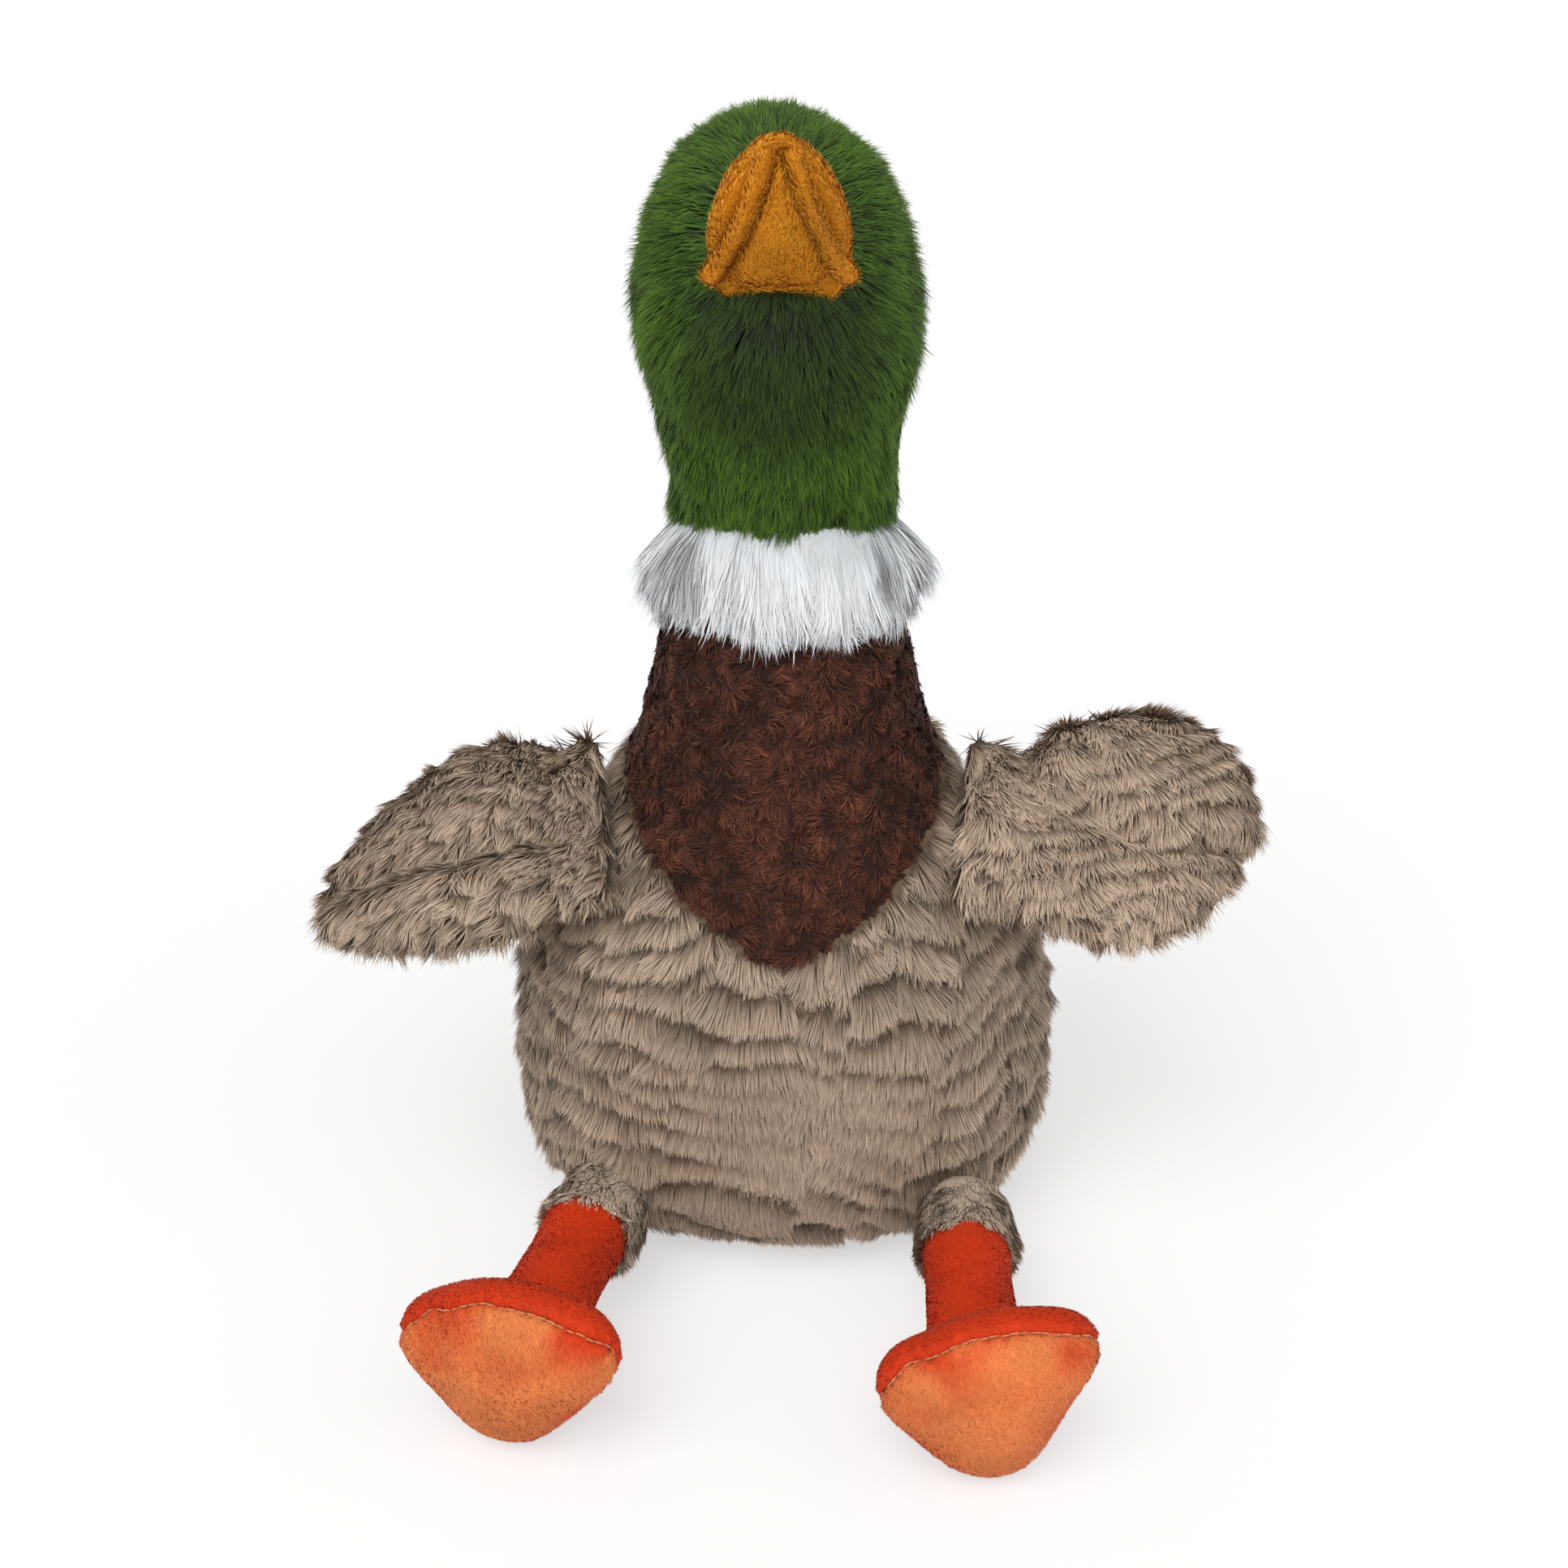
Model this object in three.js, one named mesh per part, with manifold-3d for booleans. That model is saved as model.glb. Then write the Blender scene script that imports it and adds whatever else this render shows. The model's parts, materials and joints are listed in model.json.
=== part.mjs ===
// A plush duck that sits up with its legs out in front: a stuffed trunk with a long neck, a head that
// looks up, a fur ruff, two paddle wings, two thin legs and two pillow feet. Every cover is a sewn panel
// with a real thickness round its own stuffing. Left and right are those of someone who faces the duck.
// Millimetres, +Z up, the duck faces -Y, origin on the floor under its seat.
import * as THREE from "three";
import { mergeVertices } from "three/addons/utils/BufferGeometryUtils.js";
import Module from "manifold-3d";

const wasm = await Module();
wasm.setup();
const radians = THREE.MathUtils.degToRad;

// Sewing clearances
const SEAM_GAP = 0.4; // between two panels that are sewn edge to edge
const FILL_GAP = 0.3; // between a cover and the stuffing inside it
const JOINT_GAP = 0.8; // round a ball end that turns in its socket
const CUT_OVERRUN = 30; // how far a cutting block runs past what it cuts

// Covers: the woven backing with the pile that lies on it
const TAUPE_COVER = 7;
const BROWN_COVER = 4.5;
const GREEN_COVER = 6;
const VELVET_COVER = 1.8;
const BACKING = 2;

// Stuffed trunk and neck, measured on the stuffing
const SEAT_COVER = TAUPE_COVER;
const TRUNK_HEIGHT = 196;
const TRUNK_HALF_WIDTH = 76;
const TRUNK_FRONT = 64.5;
const TRUNK_BACK = 60;
const NECK_SET_BACK = 6.5;
const TRUNK_SIDES = 22;
const TRUNK_SQUARENESS = 2.2;
// Height, half width, front reach and back reach
const TRUNK_SHARES = [
  [0, 0.72, 0.68, 0.67],
  [0.03, 0.87, 0.83, 0.81],
  [0.09, 0.96, 0.93, 0.92],
  [0.17, 1, 0.985, 0.98],
  [0.26, 0.99, 1, 1],
  [0.35, 0.965, 0.995, 0.985],
  [0.44, 0.915, 0.965, 0.95],
  [0.51, 0.84, 0.925, 0.9],
  [0.575, 0.735, 0.87, 0.82],
  [0.64, 0.62, 0.8, 0.74],
  [0.71, 0.515, 0.72, 0.65],
  [0.78, 0.46, 0.63, 0.575],
  [0.86, 0.415, 0.535, 0.515],
  [0.93, 0.375, 0.455, 0.475],
  [1, 0.35, 0.41, 0.44],
];
const LEAN_START_SHARE = 0.5;

// Seams of the trunk
const BASE_PANEL_SHARE = 0.93; // of the stuffing's lowest ring
const BIB_TIP_HEIGHT = 108.5;
const BIB_SIDE_HEIGHT = 148;
const BIB_HALF_WIDTH = 44;
const BIB_CURVE_SHARES = { widthOut: 0.95, heightOut: 0.63, widthIn: 0.55, heightIn: 0.24 };
const BIB_CURVE_STEPS = 5;
const NAPE_SEAM_HEIGHT = 142;

// Pellet pouch that weighs the seat down
const POUCH_HALF_WIDTH = 40;
const POUCH_HALF_DEPTH = 32;
const POUCH_HEIGHT = 26;
const POUCH_SHARES = [
  [0, 0.82],
  [0.15, 0.97],
  [0.5, 1],
  [0.85, 0.88],
  [1, 0.55],
];

// Neck joint: a ball end in a dip on top of the trunk
const NECK_JOINT_RISE = 8; // above the top of the trunk's stuffing
const NECK_RADIUS = 24;
const NECK_BALL_ANGLES = [-80, -62, -42, -21, 0].map(radians);
const NECK_HOLE_DROP = 19; // from the joint's middle down to the open edge of the head's cover

// Head, measured on the stuffing and up from the neck joint
const HEAD_HEIGHT = 102;
const HEAD_HALF_WIDTH = 32;
const HEAD_FRONT = 33;
const HEAD_BACK = 36;
const HEAD_SET_BACK = 11;
const HEAD_ASIDE = -3; // the crown leans a little to -X
const HEAD_SIDES = 18;
const HEAD_SHARES = [
  [0.08, 0.79, 0.76, 0.71],
  [0.22, 0.84, 0.81, 0.78],
  [0.34, 0.89, 0.87, 0.86],
  [0.44, 0.96, 0.95, 0.94],
  [0.54, 1, 1, 1],
  [0.64, 0.99, 0.98, 0.99],
  [0.74, 0.93, 0.9, 0.95],
  [0.83, 0.82, 0.78, 0.84],
  [0.91, 0.66, 0.62, 0.67],
  [0.97, 0.44, 0.42, 0.46],
  [1, 0.18, 0.17, 0.18],
];

// Fur ruff, sewn into the seam at the neck joint and falling over the top of the trunk
const RUFF_DROP = 29;
const RUFF_EASE = 3.5; // between the ruff's lip and the head's cover, which lets the head nod
const RUFF_LIP = 1.2;
const RUFF_FLARE = 9;
// Drop and the radius past the trunk's neck
const RUFF_SHARES = [
  [1, 0.72],
  [0.88, 1],
  [0.55, 0.97],
  [0.25, 0.78],
  [0.07, 0.5],
];
const RUFF_SIDES = 22;

// Bill, measured on the stuffing from its middle inside the head's front
const BILL_FORWARD = 20.5; // from the neck joint
const BILL_HEIGHT = 78; // above the neck joint
const BILL_ASIDE = -1;
const BILL_RISE = radians(50);
const BILL_LENGTH = 40;
const BILL_HALF_WIDTH = 16;
const BILL_UPPER = 20; // above the mouth seam, at the head
const BILL_LOWER = 5; // below the mouth seam, at the thickest
const BILL_SIDES = 14;
// Length, width at the mouth seam, reach above it and reach below it
const BILL_SHARES = [
  [-0.5, 1, 1.1, 0.3],
  [0, 1, 1, 0.4],
  [0.25, 0.985, 0.88, 0.8],
  [0.45, 0.91, 0.73, 1],
  [0.64, 0.76, 0.55, 0.9],
  [0.8, 0.56, 0.38, 0.68],
  [0.92, 0.35, 0.22, 0.42],
  [1, 0.12, 0.08, 0.15],
];
const MOUTH_DROP = 7.5; // of the mouth seam, below the bill's middle at the head
const MOUTH_RISE = 0.5; // and above it at the tip
const LOWER_BILL_INSET = 1.5;

// Eyes: a dome on a shank, locked by a washer inside the head
const EYE_HEIGHT = 76; // above the neck joint
const EYE_ANGLE = radians(16); // behind straight sideways
const EYE_RADIUS = 5.5;
const EYE_BULGE = 4;
const EYE_FLANGE = 0.8;
const SHANK_RADIUS = 2;
const SHANK_LENGTH = 10;
const SHANK_GAP = 0.3;
const WASHER_RADIUS = 7;
const WASHER_THICKNESS = 1.6;
const WASHER_SEAT = 1.8; // the washer's flat face below the rounded backing
const EYE_SIDES = 12;
const DOME_ANGLES = [25, 50, 72].map(radians);
const STEP_UP = 0.5; // the eye's direction is taken from the head's slope over this step
const STEP_ROUND = radians(1);

// Wings: a padded blade that hangs on a thin hem, which turns in a groove of the trunk
const WING_TOP_HEIGHT = 150;
const WING_TOP_ANGLE = radians(-3);
const WING_BOTTOM_HEIGHT = 124;
const WING_BOTTOM_ANGLE = radians(-51);
const WING_HEM_STAND_OFF = 8.5; // of the hem's ends, off the trunk's cover
const WING_HALF_CHORD = 27;
const WING_HALF_THICKNESS = 6;
const WING_COVER = 4;
const HEM_HALF_THICKNESS = 2.2;
const WING_SIDES = 14;
const HEM_SHARES = [
  [-1, 0.3],
  [-0.7, 0.72],
  [0, 1],
  [2, 1],
];
// Span, half chord, the chord's shift to the upper edge, and thickness
const WINGS = {
  left: {
    side: -1,
    span: 88,
    droop: radians(15),
    sweep: -6,
    curl: 5,
    shares: [
      [0.15, 0.86, 0.03, 0.3],
      [0.27, 1, 0.09, 0.8],
      [0.46, 1.02, 0.17, 1],
      [0.68, 0.8, 0.12, 0.95],
      [0.85, 0.5, 0.05, 0.75],
      [0.95, 0.26, 0, 0.5],
      [1, 0.08, 0, 0.2],
    ],
  },
  right: {
    side: 1,
    span: 81,
    droop: radians(12),
    sweep: 9,
    curl: -5,
    shares: [
      [0.15, 0.84, -0.05, 0.3],
      [0.27, 0.97, -0.08, 0.8],
      [0.45, 1.14, -0.1, 1],
      [0.68, 1.17, -0.03, 1],
      [0.85, 0.94, 0.02, 0.85],
      [0.95, 0.54, 0.01, 0.55],
      [1, 0.16, 0, 0.2],
    ],
  },
};

// Legs: a furry thigh end that turns in a dip of the trunk, and a thin velvet leg that comes out of it
const HIP_ANGLE = radians(-52);
const HIP_HEIGHT = 25;
const THIGH_RADIUS = 17;
const LEG_ROOT = 3; // from the joint's middle to the leg's upper end
const LEG_LENGTH = 48; // from the hip's middle to the ankle's
const LEG_RADIUS = 10.8;
const LEG_WAIST_SHARE = 0.94;
const LEG_SIDES = 14;
const BALL_SIDES = 14;
const LEG_BALL_ANGLES = [0, 30, 58, 80].map(radians);
// standOff is how far the hip's middle stands off the trunk's cover; lean, roll and aside are the foot's own, and
// arcs are the outline of its padding: the toe corners, the toe edge between them and the heel, each as
// [across, up, radius, from angle, to angle]
const LEGS = {
  left: {
    side: -1,
    splay: radians(16),
    standOff: 5,
    lean: radians(6),
    roll: radians(12),
    aside: 1.1,
    arcs: [
      [17.9, 2.8, 12.4, -45, 64],
      [1, -19.5, 40.2, 72, 106],
      [-15.8, 5.3, 11.5, 116, 205],
      [-4.1, -13.6, 14.2, 207, 313],
    ],
  },
  right: {
    side: 1,
    splay: radians(-1),
    standOff: 13,
    lean: radians(2),
    roll: radians(23),
    aside: 4.7,
    arcs: [
      [22, 4.9, 7.1, -45, 64],
      [1, -22.5, 40.2, 72, 106],
      [-13.7, 4.8, 12.9, 116, 205],
      [-5.4, -13, 14.2, 207, 313],
    ],
  },
};

// Feet: a rounded triangle, wide at the toes, that stands on its heel with the sole to the front
const FOOT_HALF_THICKNESS = 11.5;
const ANKLE_STAND_OFF = 6; // of the ankle's middle, off the foot's upper
const FOOT_ARC_STEP = 27; // degrees at most from point to point
const FOOT_ROUNDNESS = 2.2;
const FOOT_LAYER_SHARES = [-1, -0.85, -0.5, 0, 0.5, 0.85, 1];
const FOOT_FACE_SHARE = 0.06; // keeps the outermost layer from closing to a point
const HEEL_GAP = 0.2; // under the heels, which only just touch the floor

// Tail
const TAIL_HEIGHT = 58;
const TAIL_RISE = radians(30);
const TAIL_LENGTH = 30; // past the trunk's cover
const TAIL_HALF_WIDTH = 19;
const TAIL_HALF_THICKNESS = 7;
const TAIL_COVER = 4;
const TAIL_SIDES = 18;
const TAIL_SHARES = [
  [0, 1, 1],
  [0.35, 0.98, 0.95],
  [0.62, 0.82, 0.75],
  [0.84, 0.52, 0.5],
  [1, 0.14, 0.2],
];

// Fabrics and plastics
const fabric = (color, roughness) => new THREE.MeshStandardMaterial({ color, roughness, metalness: 0 });
const TAUPE_FUR = fabric(0xa8937c, 0.95);
const BROWN_FLEECE = fabric(0x5a3020, 0.95);
const GREEN_FUR = fabric(0x3f7d1f, 0.9);
const WHITE_FUR = fabric(0xe9ecee, 0.9);
const YELLOW_VELVET = fabric(0xe2971f, 0.85);
const ORANGE_VELVET = fabric(0xe0561c, 0.8);
const SOLE_VELVET = fabric(0xe5813a, 0.8);
const STUFFING = fabric(0xf4f2ec, 1);
const PELLET_CLOTH = fabric(0xd8d4c8, 1);
const BLACK_PLASTIC = new THREE.MeshStandardMaterial({ color: 0x0c0c0d, roughness: 0.15, metalness: 0 });
const WHITE_PLASTIC = new THREE.MeshStandardMaterial({ color: 0xe8e8e6, roughness: 0.4, metalness: 0 });

// Solids from points and from three.js geometries

function solidFromGeometry(geometry) {
  const bare = geometry.clone();
  bare.deleteAttribute("normal");
  bare.deleteAttribute("uv");
  const merged = mergeVertices(bare);
  const triangles = [];
  for (let i = 0; i < merged.index.count; i += 3) {
    const corners = [0, 1, 2].map((k) => merged.index.getX(i + k));
    if (new Set(corners).size === corners.length) triangles.push(...corners);
  }
  const points = merged.attributes.position.array;
  return new wasm.Manifold(
    new wasm.Mesh({ numProp: 3, vertProperties: points, triVerts: new Uint32Array(triangles) }),
  );
}

const centreOf = (ring) =>
  ring.reduce((sum, p) => sum.add(p), new THREE.Vector3()).divideScalar(ring.length);

// A closed solid through rings of equal point counts, which turn anticlockwise seen from the last ring.
function loftedSolid(rings) {
  const sides = rings[0].length;
  const points = rings.flat();
  const triangles = [];
  for (let r = 0; r + 1 < rings.length; r++) {
    for (let i = 0; i < sides; i++) {
      const a = r * sides + i;
      const b = r * sides + ((i + 1) % sides);
      triangles.push(a, b, b + sides, a, b + sides, a + sides);
    }
  }
  const lastRing = (rings.length - 1) * sides;
  const start = points.push(centreOf(rings[0])) - 1;
  const end = points.push(centreOf(rings.at(-1))) - 1;
  for (let i = 0; i < sides; i++) {
    const next = (i + 1) % sides;
    triangles.push(start, next, i, end, lastRing + i, lastRing + next);
  }
  return new wasm.Manifold(
    new wasm.Mesh({
      numProp: 3,
      vertProperties: new Float32Array(points.flatMap((p) => p.toArray())),
      triVerts: new Uint32Array(triangles),
    }),
  );
}

// A stuffed form is a list of sections {along, across, low, high, shift, lift}: across is the half width,
// low and high are the reaches to either side, and lift and shift move the section's middle along the
// same two ways. grownForm lays a cover of that thickness on it, square to the form's own slope.
function grownForm(sections, thickness, openStart, openEnd) {
  return sections.map((section, k) => {
    const last = sections.length - 1;
    const slope = new THREE.Vector2();
    if (k === 0 && !openStart) {
      slope.set(1, 0);
    } else if (k === last && !openEnd) {
      slope.set(-1, 0);
    } else {
      const before = sections[Math.max(k - 1, 0)];
      const after = sections[Math.min(k + 1, last)];
      slope.set(after.across - before.across, after.along - before.along).normalize();
    }
    return {
      ...section,
      along: section.along - slope.x * thickness,
      across: section.across + slope.y * thickness,
      low: section.low + slope.y * thickness,
      high: section.high + slope.y * thickness,
    };
  });
}

const power = (value, squareness) => Math.sign(value) * Math.abs(value) ** (2 / squareness);

function sectionPoint({ across, low, high, lift = 0, shift = 0 }, angle, squareness) {
  const reach = Math.sin(angle) < 0 ? low : high;
  const x = power(Math.cos(angle), squareness) * across + lift;
  return new THREE.Vector2(x, power(Math.sin(angle), squareness) * reach + shift);
}

// The form as a solid. place puts a section's own two ways and its along in space, by default on X, Y, Z.
const upright = (across, side, along) => new THREE.Vector3(across, side, along);

function formSolid(sections, sides, squareness = 2, place = upright) {
  const rings = sections.map((section) => {
    const ring = [];
    for (let i = 0; i < sides; i++) {
      const point = sectionPoint(section, (2 * Math.PI * i) / sides, squareness);
      ring.push(place(point.x, point.y, section.along));
    }
    return ring;
  });
  return loftedSolid(rings);
}

// The point of an upright form at a height and an angle, 0 at +X and a quarter turn at +Y.
function pointOn(sections, height, angle, squareness = 2) {
  const above = Math.max(sections.findIndex((section) => section.along > height), 1);
  const [a, b] = [sections[above - 1], sections[above]];
  const t = (height - a.along) / (b.along - a.along);
  const section = {};
  for (const key of ["across", "low", "high", "shift"]) section[key] = a[key] + t * (b[key] - a[key]);
  section.lift = (a.lift ?? 0) + t * ((b.lift ?? 0) - (a.lift ?? 0));
  const point = sectionPoint(section, angle, squareness);
  return new THREE.Vector3(point.x, point.y, height);
}

// The outward direction of an upright form's surface there, from how the surface runs round and up.
function normalOn(sections, height, angle) {
  const before = pointOn(sections, height, angle - STEP_ROUND);
  const round = pointOn(sections, height, angle + STEP_ROUND).sub(before);
  const up = pointOn(sections, height + STEP_UP, angle).sub(pointOn(sections, height - STEP_UP, angle));
  return round.cross(up).normalize();
}

function boxSolid(low, high, matrix = new THREE.Matrix4()) {
  const size = high.clone().sub(low);
  const middle = low.clone().add(high).divideScalar(2);
  const box = new THREE.BoxGeometry(size.x, size.y, size.z).translate(middle.x, middle.y, middle.z);
  return solidFromGeometry(box.applyMatrix4(matrix));
}

function ballSolid(centre, radius, sides) {
  const ball = new THREE.SphereGeometry(radius, sides, sides / 2);
  return solidFromGeometry(ball.translate(centre.x, centre.y, centre.z));
}

// A solid turned about +Z from a profile of [radius, height], whose heights run upwards on its outside.
function turnedSolid(profile, sides, matrix = new THREE.Matrix4()) {
  const points = profile.map(([radius, height]) => new THREE.Vector2(radius, height));
  const turned = new THREE.LatheGeometry(points, sides).rotateX(Math.PI / 2);
  return solidFromGeometry(turned.applyMatrix4(matrix));
}

const largestOf = (solid) => solid.decompose().sort((a, b) => b.volume() - a.volume())[0];

const duck = new THREE.Group();

function addPiece(name, solid, material) {
  const { vertProperties, triVerts } = largestOf(solid).getMesh();
  const geometry = new THREE.BufferGeometry();
  geometry.setAttribute("position", new THREE.BufferAttribute(vertProperties, 3));
  geometry.setIndex(new THREE.BufferAttribute(triVerts, 1));
  geometry.computeVertexNormals();
  const mesh = new THREE.Mesh(geometry, material);
  mesh.name = name;
  duck.add(mesh);
}

// Halves of all space, and the space above a height, as blocks that run past the trunk and the head
const reachOut = 2 * TRUNK_HALF_WIDTH + CUT_OVERRUN;
const reachUp = SEAT_COVER + TRUNK_HEIGHT + HEAD_HEIGHT + GREEN_COVER + CUT_OVERRUN;
const spaceFrom = (x, y, z) => new THREE.Vector3(x ?? -reachOut, y ?? -reachOut, z ?? -CUT_OVERRUN);
const spaceTo = (x, y, z) => new THREE.Vector3(x ?? reachOut, y ?? reachOut, z ?? reachUp);

// Trunk

const smooth = (t) => THREE.MathUtils.smoothstep(t, 0, 1);

const trunkForm = TRUNK_SHARES.map(([height, width, front, back]) => ({
  along: SEAT_COVER + height * TRUNK_HEIGHT,
  across: width * TRUNK_HALF_WIDTH,
  low: front * TRUNK_FRONT,
  high: back * TRUNK_BACK,
  shift: NECK_SET_BACK * smooth((height - LEAN_START_SHARE) / (1 - LEAN_START_SHARE)),
}));
const trunkGrown = (thickness) => grownForm(trunkForm, thickness, false, true);
const trunkSolid = (thickness) => formSolid(trunkGrown(thickness), TRUNK_SIDES, TRUNK_SQUARENESS);
const trunkPoint = (height, angle) => pointOn(trunkGrown(TAUPE_COVER), height, angle, TRUNK_SQUARENESS);

const neckJoint = new THREE.Vector3(0, NECK_SET_BACK, SEAT_COVER + TRUNK_HEIGHT + NECK_JOINT_RISE);
const neckSocket = ballSolid(neckJoint, NECK_RADIUS + GREEN_COVER + JOINT_GAP, TRUNK_SIDES);

// A leg's own frame: X across the leg, Y up, Z out along it, from the middle of the hip.
function legFrame({ side, splay, standOff }) {
  const out = new THREE.Vector3(side * Math.sin(splay), -Math.cos(splay), 0);
  const up = new THREE.Vector3(0, 0, 1);
  const across = up.clone().cross(out);
  const root = trunkPoint(HIP_HEIGHT, side > 0 ? HIP_ANGLE : Math.PI - HIP_ANGLE);
  const middle = root.addScaledVector(out, standOff);
  return { middle, out, matrix: new THREE.Matrix4().makeBasis(across, up, out).setPosition(middle) };
}
const hipSocket = (leg) => ballSolid(legFrame(leg).middle, THIGH_RADIUS + JOINT_GAP, BALL_SIDES);

// A wing's own frame: X out along the wing, Y up its hem, Z square to both, from the middle of the hem.
function wingFrame({ side, droop }) {
  const around = (angle) => (side > 0 ? angle : Math.PI - angle);
  const bottom = trunkPoint(WING_BOTTOM_HEIGHT, around(WING_BOTTOM_ANGLE));
  const top = trunkPoint(WING_TOP_HEIGHT, around(WING_TOP_ANGLE));
  const hem = top.clone().sub(bottom);
  const chord = hem.clone().normalize();
  const level = new THREE.Vector3(side, 0, 0).addScaledVector(chord, -side * chord.x).normalize();
  const out = level.applyAxisAngle(chord, side * droop);
  const middle = top.clone().add(bottom).divideScalar(2).addScaledVector(out, WING_HEM_STAND_OFF);
  const matrix = new THREE.Matrix4().makeBasis(out, chord, out.clone().cross(chord)).setPosition(middle);
  return { halfHem: hem.length() / 2, matrix };
}

function hemGroove(wing) {
  const { matrix, halfHem } = wingFrame(wing);
  const radius = HEM_HALF_THICKNESS + JOINT_GAP;
  const rod = new THREE.CylinderGeometry(radius, radius, 2 * (halfHem + JOINT_GAP), WING_SIDES);
  return solidFromGeometry(rod.applyMatrix4(matrix));
}

const sockets = [
  neckSocket,
  hipSocket(LEGS.left),
  hipSocket(LEGS.right),
  hemGroove(WINGS.left),
  hemGroove(WINGS.right),
];
const socketed = (solid) => sockets.reduce((left, socket) => left.subtract(socket), solid);

function bibRegion(gap) {
  const half = BIB_HALF_WIDTH + gap;
  const tip = BIB_TIP_HEIGHT - gap;
  const side = BIB_SIDE_HEIGHT - gap;
  const { widthOut, heightOut, widthIn, heightIn } = BIB_CURVE_SHARES;
  const outer = tip + heightOut * (side - tip);
  const inner = tip + heightIn * (side - tip);
  const outline = new THREE.Shape();
  outline.moveTo(-reachOut, reachUp);
  outline.lineTo(-reachOut, side);
  outline.lineTo(-half, side);
  outline.bezierCurveTo(-widthOut * half, outer, -widthIn * half, inner, 0, tip);
  outline.bezierCurveTo(widthIn * half, inner, widthOut * half, outer, half, side);
  outline.lineTo(reachOut, side);
  outline.lineTo(reachOut, reachUp);
  const settings = { depth: reachOut, bevelEnabled: false, curveSegments: BIB_CURVE_STEPS };
  const block = new THREE.ExtrudeGeometry(outline, settings);
  return solidFromGeometry(block.rotateX(Math.PI / 2));
}

function seatPlug(gap) {
  const edge = {
    across: trunkForm[0].across * BASE_PANEL_SHARE + gap,
    low: trunkForm[0].low * BASE_PANEL_SHARE + gap,
    high: trunkForm[0].high * BASE_PANEL_SHARE + gap,
  };
  const ends = [-CUT_OVERRUN, SEAT_COVER + CUT_OVERRUN].map((along) => ({ ...edge, along }));
  return formSolid(ends, TRUNK_SIDES, TRUNK_SQUARENESS);
}

function pouchSolid(gap, start) {
  const bottom = SEAT_COVER + FILL_GAP;
  const sections = POUCH_SHARES.map(([height, width]) => ({
    along: bottom + height * POUCH_HEIGHT + gap,
    across: width * POUCH_HALF_WIDTH + gap,
    low: width * POUCH_HALF_DEPTH + gap,
    high: width * POUCH_HALF_DEPTH + gap,
  }));
  sections[0].along = start;
  return formSolid(sections, TRUNK_SIDES);
}

const frontHalf = boxSolid(spaceFrom(), spaceTo(null, -SEAM_GAP, null));
const backHalf = boxSolid(spaceFrom(null, 0, null), spaceTo());
const napeRegion = boxSolid(spaceFrom(null, 0, NAPE_SEAM_HEIGHT), spaceTo());
const belowNape = boxSolid(spaceFrom(null, 0, null), spaceTo(null, null, NAPE_SEAM_HEIGHT - SEAM_GAP));

const trunkInside = trunkSolid(FILL_GAP);
const taupeShell = socketed(trunkSolid(TAUPE_COVER).subtract(trunkInside));
const brownShell = socketed(trunkSolid(BROWN_COVER).subtract(trunkInside));
const taupeSides = taupeShell.subtract(seatPlug(SEAM_GAP));
const cavity = pouchSolid(FILL_GAP, 0);

addPiece("body_front", taupeSides.intersect(frontHalf).subtract(bibRegion(SEAM_GAP)), TAUPE_FUR);
addPiece("body_back", taupeSides.intersect(backHalf).intersect(belowNape), TAUPE_FUR);
addPiece("body_base", taupeShell.intersect(seatPlug(0)), TAUPE_FUR);
addPiece("chest_bib", brownShell.intersect(frontHalf).intersect(bibRegion(0)), BROWN_FLEECE);
addPiece("nape", brownShell.intersect(napeRegion), BROWN_FLEECE);
addPiece("torso_stuffing", socketed(trunkSolid(0)).subtract(cavity), STUFFING);
addPiece("pellet_pouch", pouchSolid(0, SEAT_COVER + FILL_GAP), PELLET_CLOTH);

// Tail, cut to sit on the trunk's back

const tailRoot = trunkPoint(TAIL_HEIGHT, Math.PI / 2);
const tailOut = new THREE.Vector3(0, Math.cos(TAIL_RISE), Math.sin(TAIL_RISE));
const tailUp = new THREE.Vector3(0, -Math.sin(TAIL_RISE), Math.cos(TAIL_RISE));
const toLeft = new THREE.Vector3(-1, 0, 0);
const tailPlace = (across, side, along) =>
  tailRoot
    .clone()
    .addScaledVector(tailOut, along)
    .addScaledVector(tailUp, side)
    .addScaledVector(toLeft, across);
const tailForm = TAIL_SHARES.map(([length, width, thickness]) => ({
  along: length * (TAIL_LENGTH + CUT_OVERRUN - TAIL_COVER) - CUT_OVERRUN,
  across: width * TAIL_HALF_WIDTH,
  low: thickness * TAIL_HALF_THICKNESS,
  high: thickness * TAIL_HALF_THICKNESS,
}));
const tailSolid = (thickness) =>
  formSolid(grownForm(tailForm, thickness, true, false), TAIL_SIDES, 2, tailPlace).subtract(
    trunkSolid(TAUPE_COVER + SEAM_GAP),
  );
addPiece("tail_cover", tailSolid(TAIL_COVER).subtract(tailSolid(FILL_GAP)), TAUPE_FUR);
addPiece("tail_stuffing", tailSolid(0), STUFFING);

// Head and neck

const headForm = HEAD_SHARES.map(([height, width, front, back]) => ({
  along: neckJoint.z + height * HEAD_HEIGHT,
  across: width * HEAD_HALF_WIDTH,
  low: front * HEAD_FRONT,
  high: back * HEAD_BACK,
  shift: neckJoint.y + HEAD_SET_BACK * smooth(height),
  lift: HEAD_ASIDE * smooth(height),
}));
const neckBall = (radius) =>
  NECK_BALL_ANGLES.map((angle) => {
    const reach = radius * Math.cos(angle);
    const along = neckJoint.z + radius * Math.sin(angle);
    return { along, across: reach, low: reach, high: reach, shift: neckJoint.y };
  });
const headGrown = (thickness) => [
  ...neckBall(NECK_RADIUS + thickness),
  ...grownForm(headForm, thickness, true, false),
];
const headSolid = (thickness) => formSolid(headGrown(thickness), HEAD_SIDES);
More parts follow.
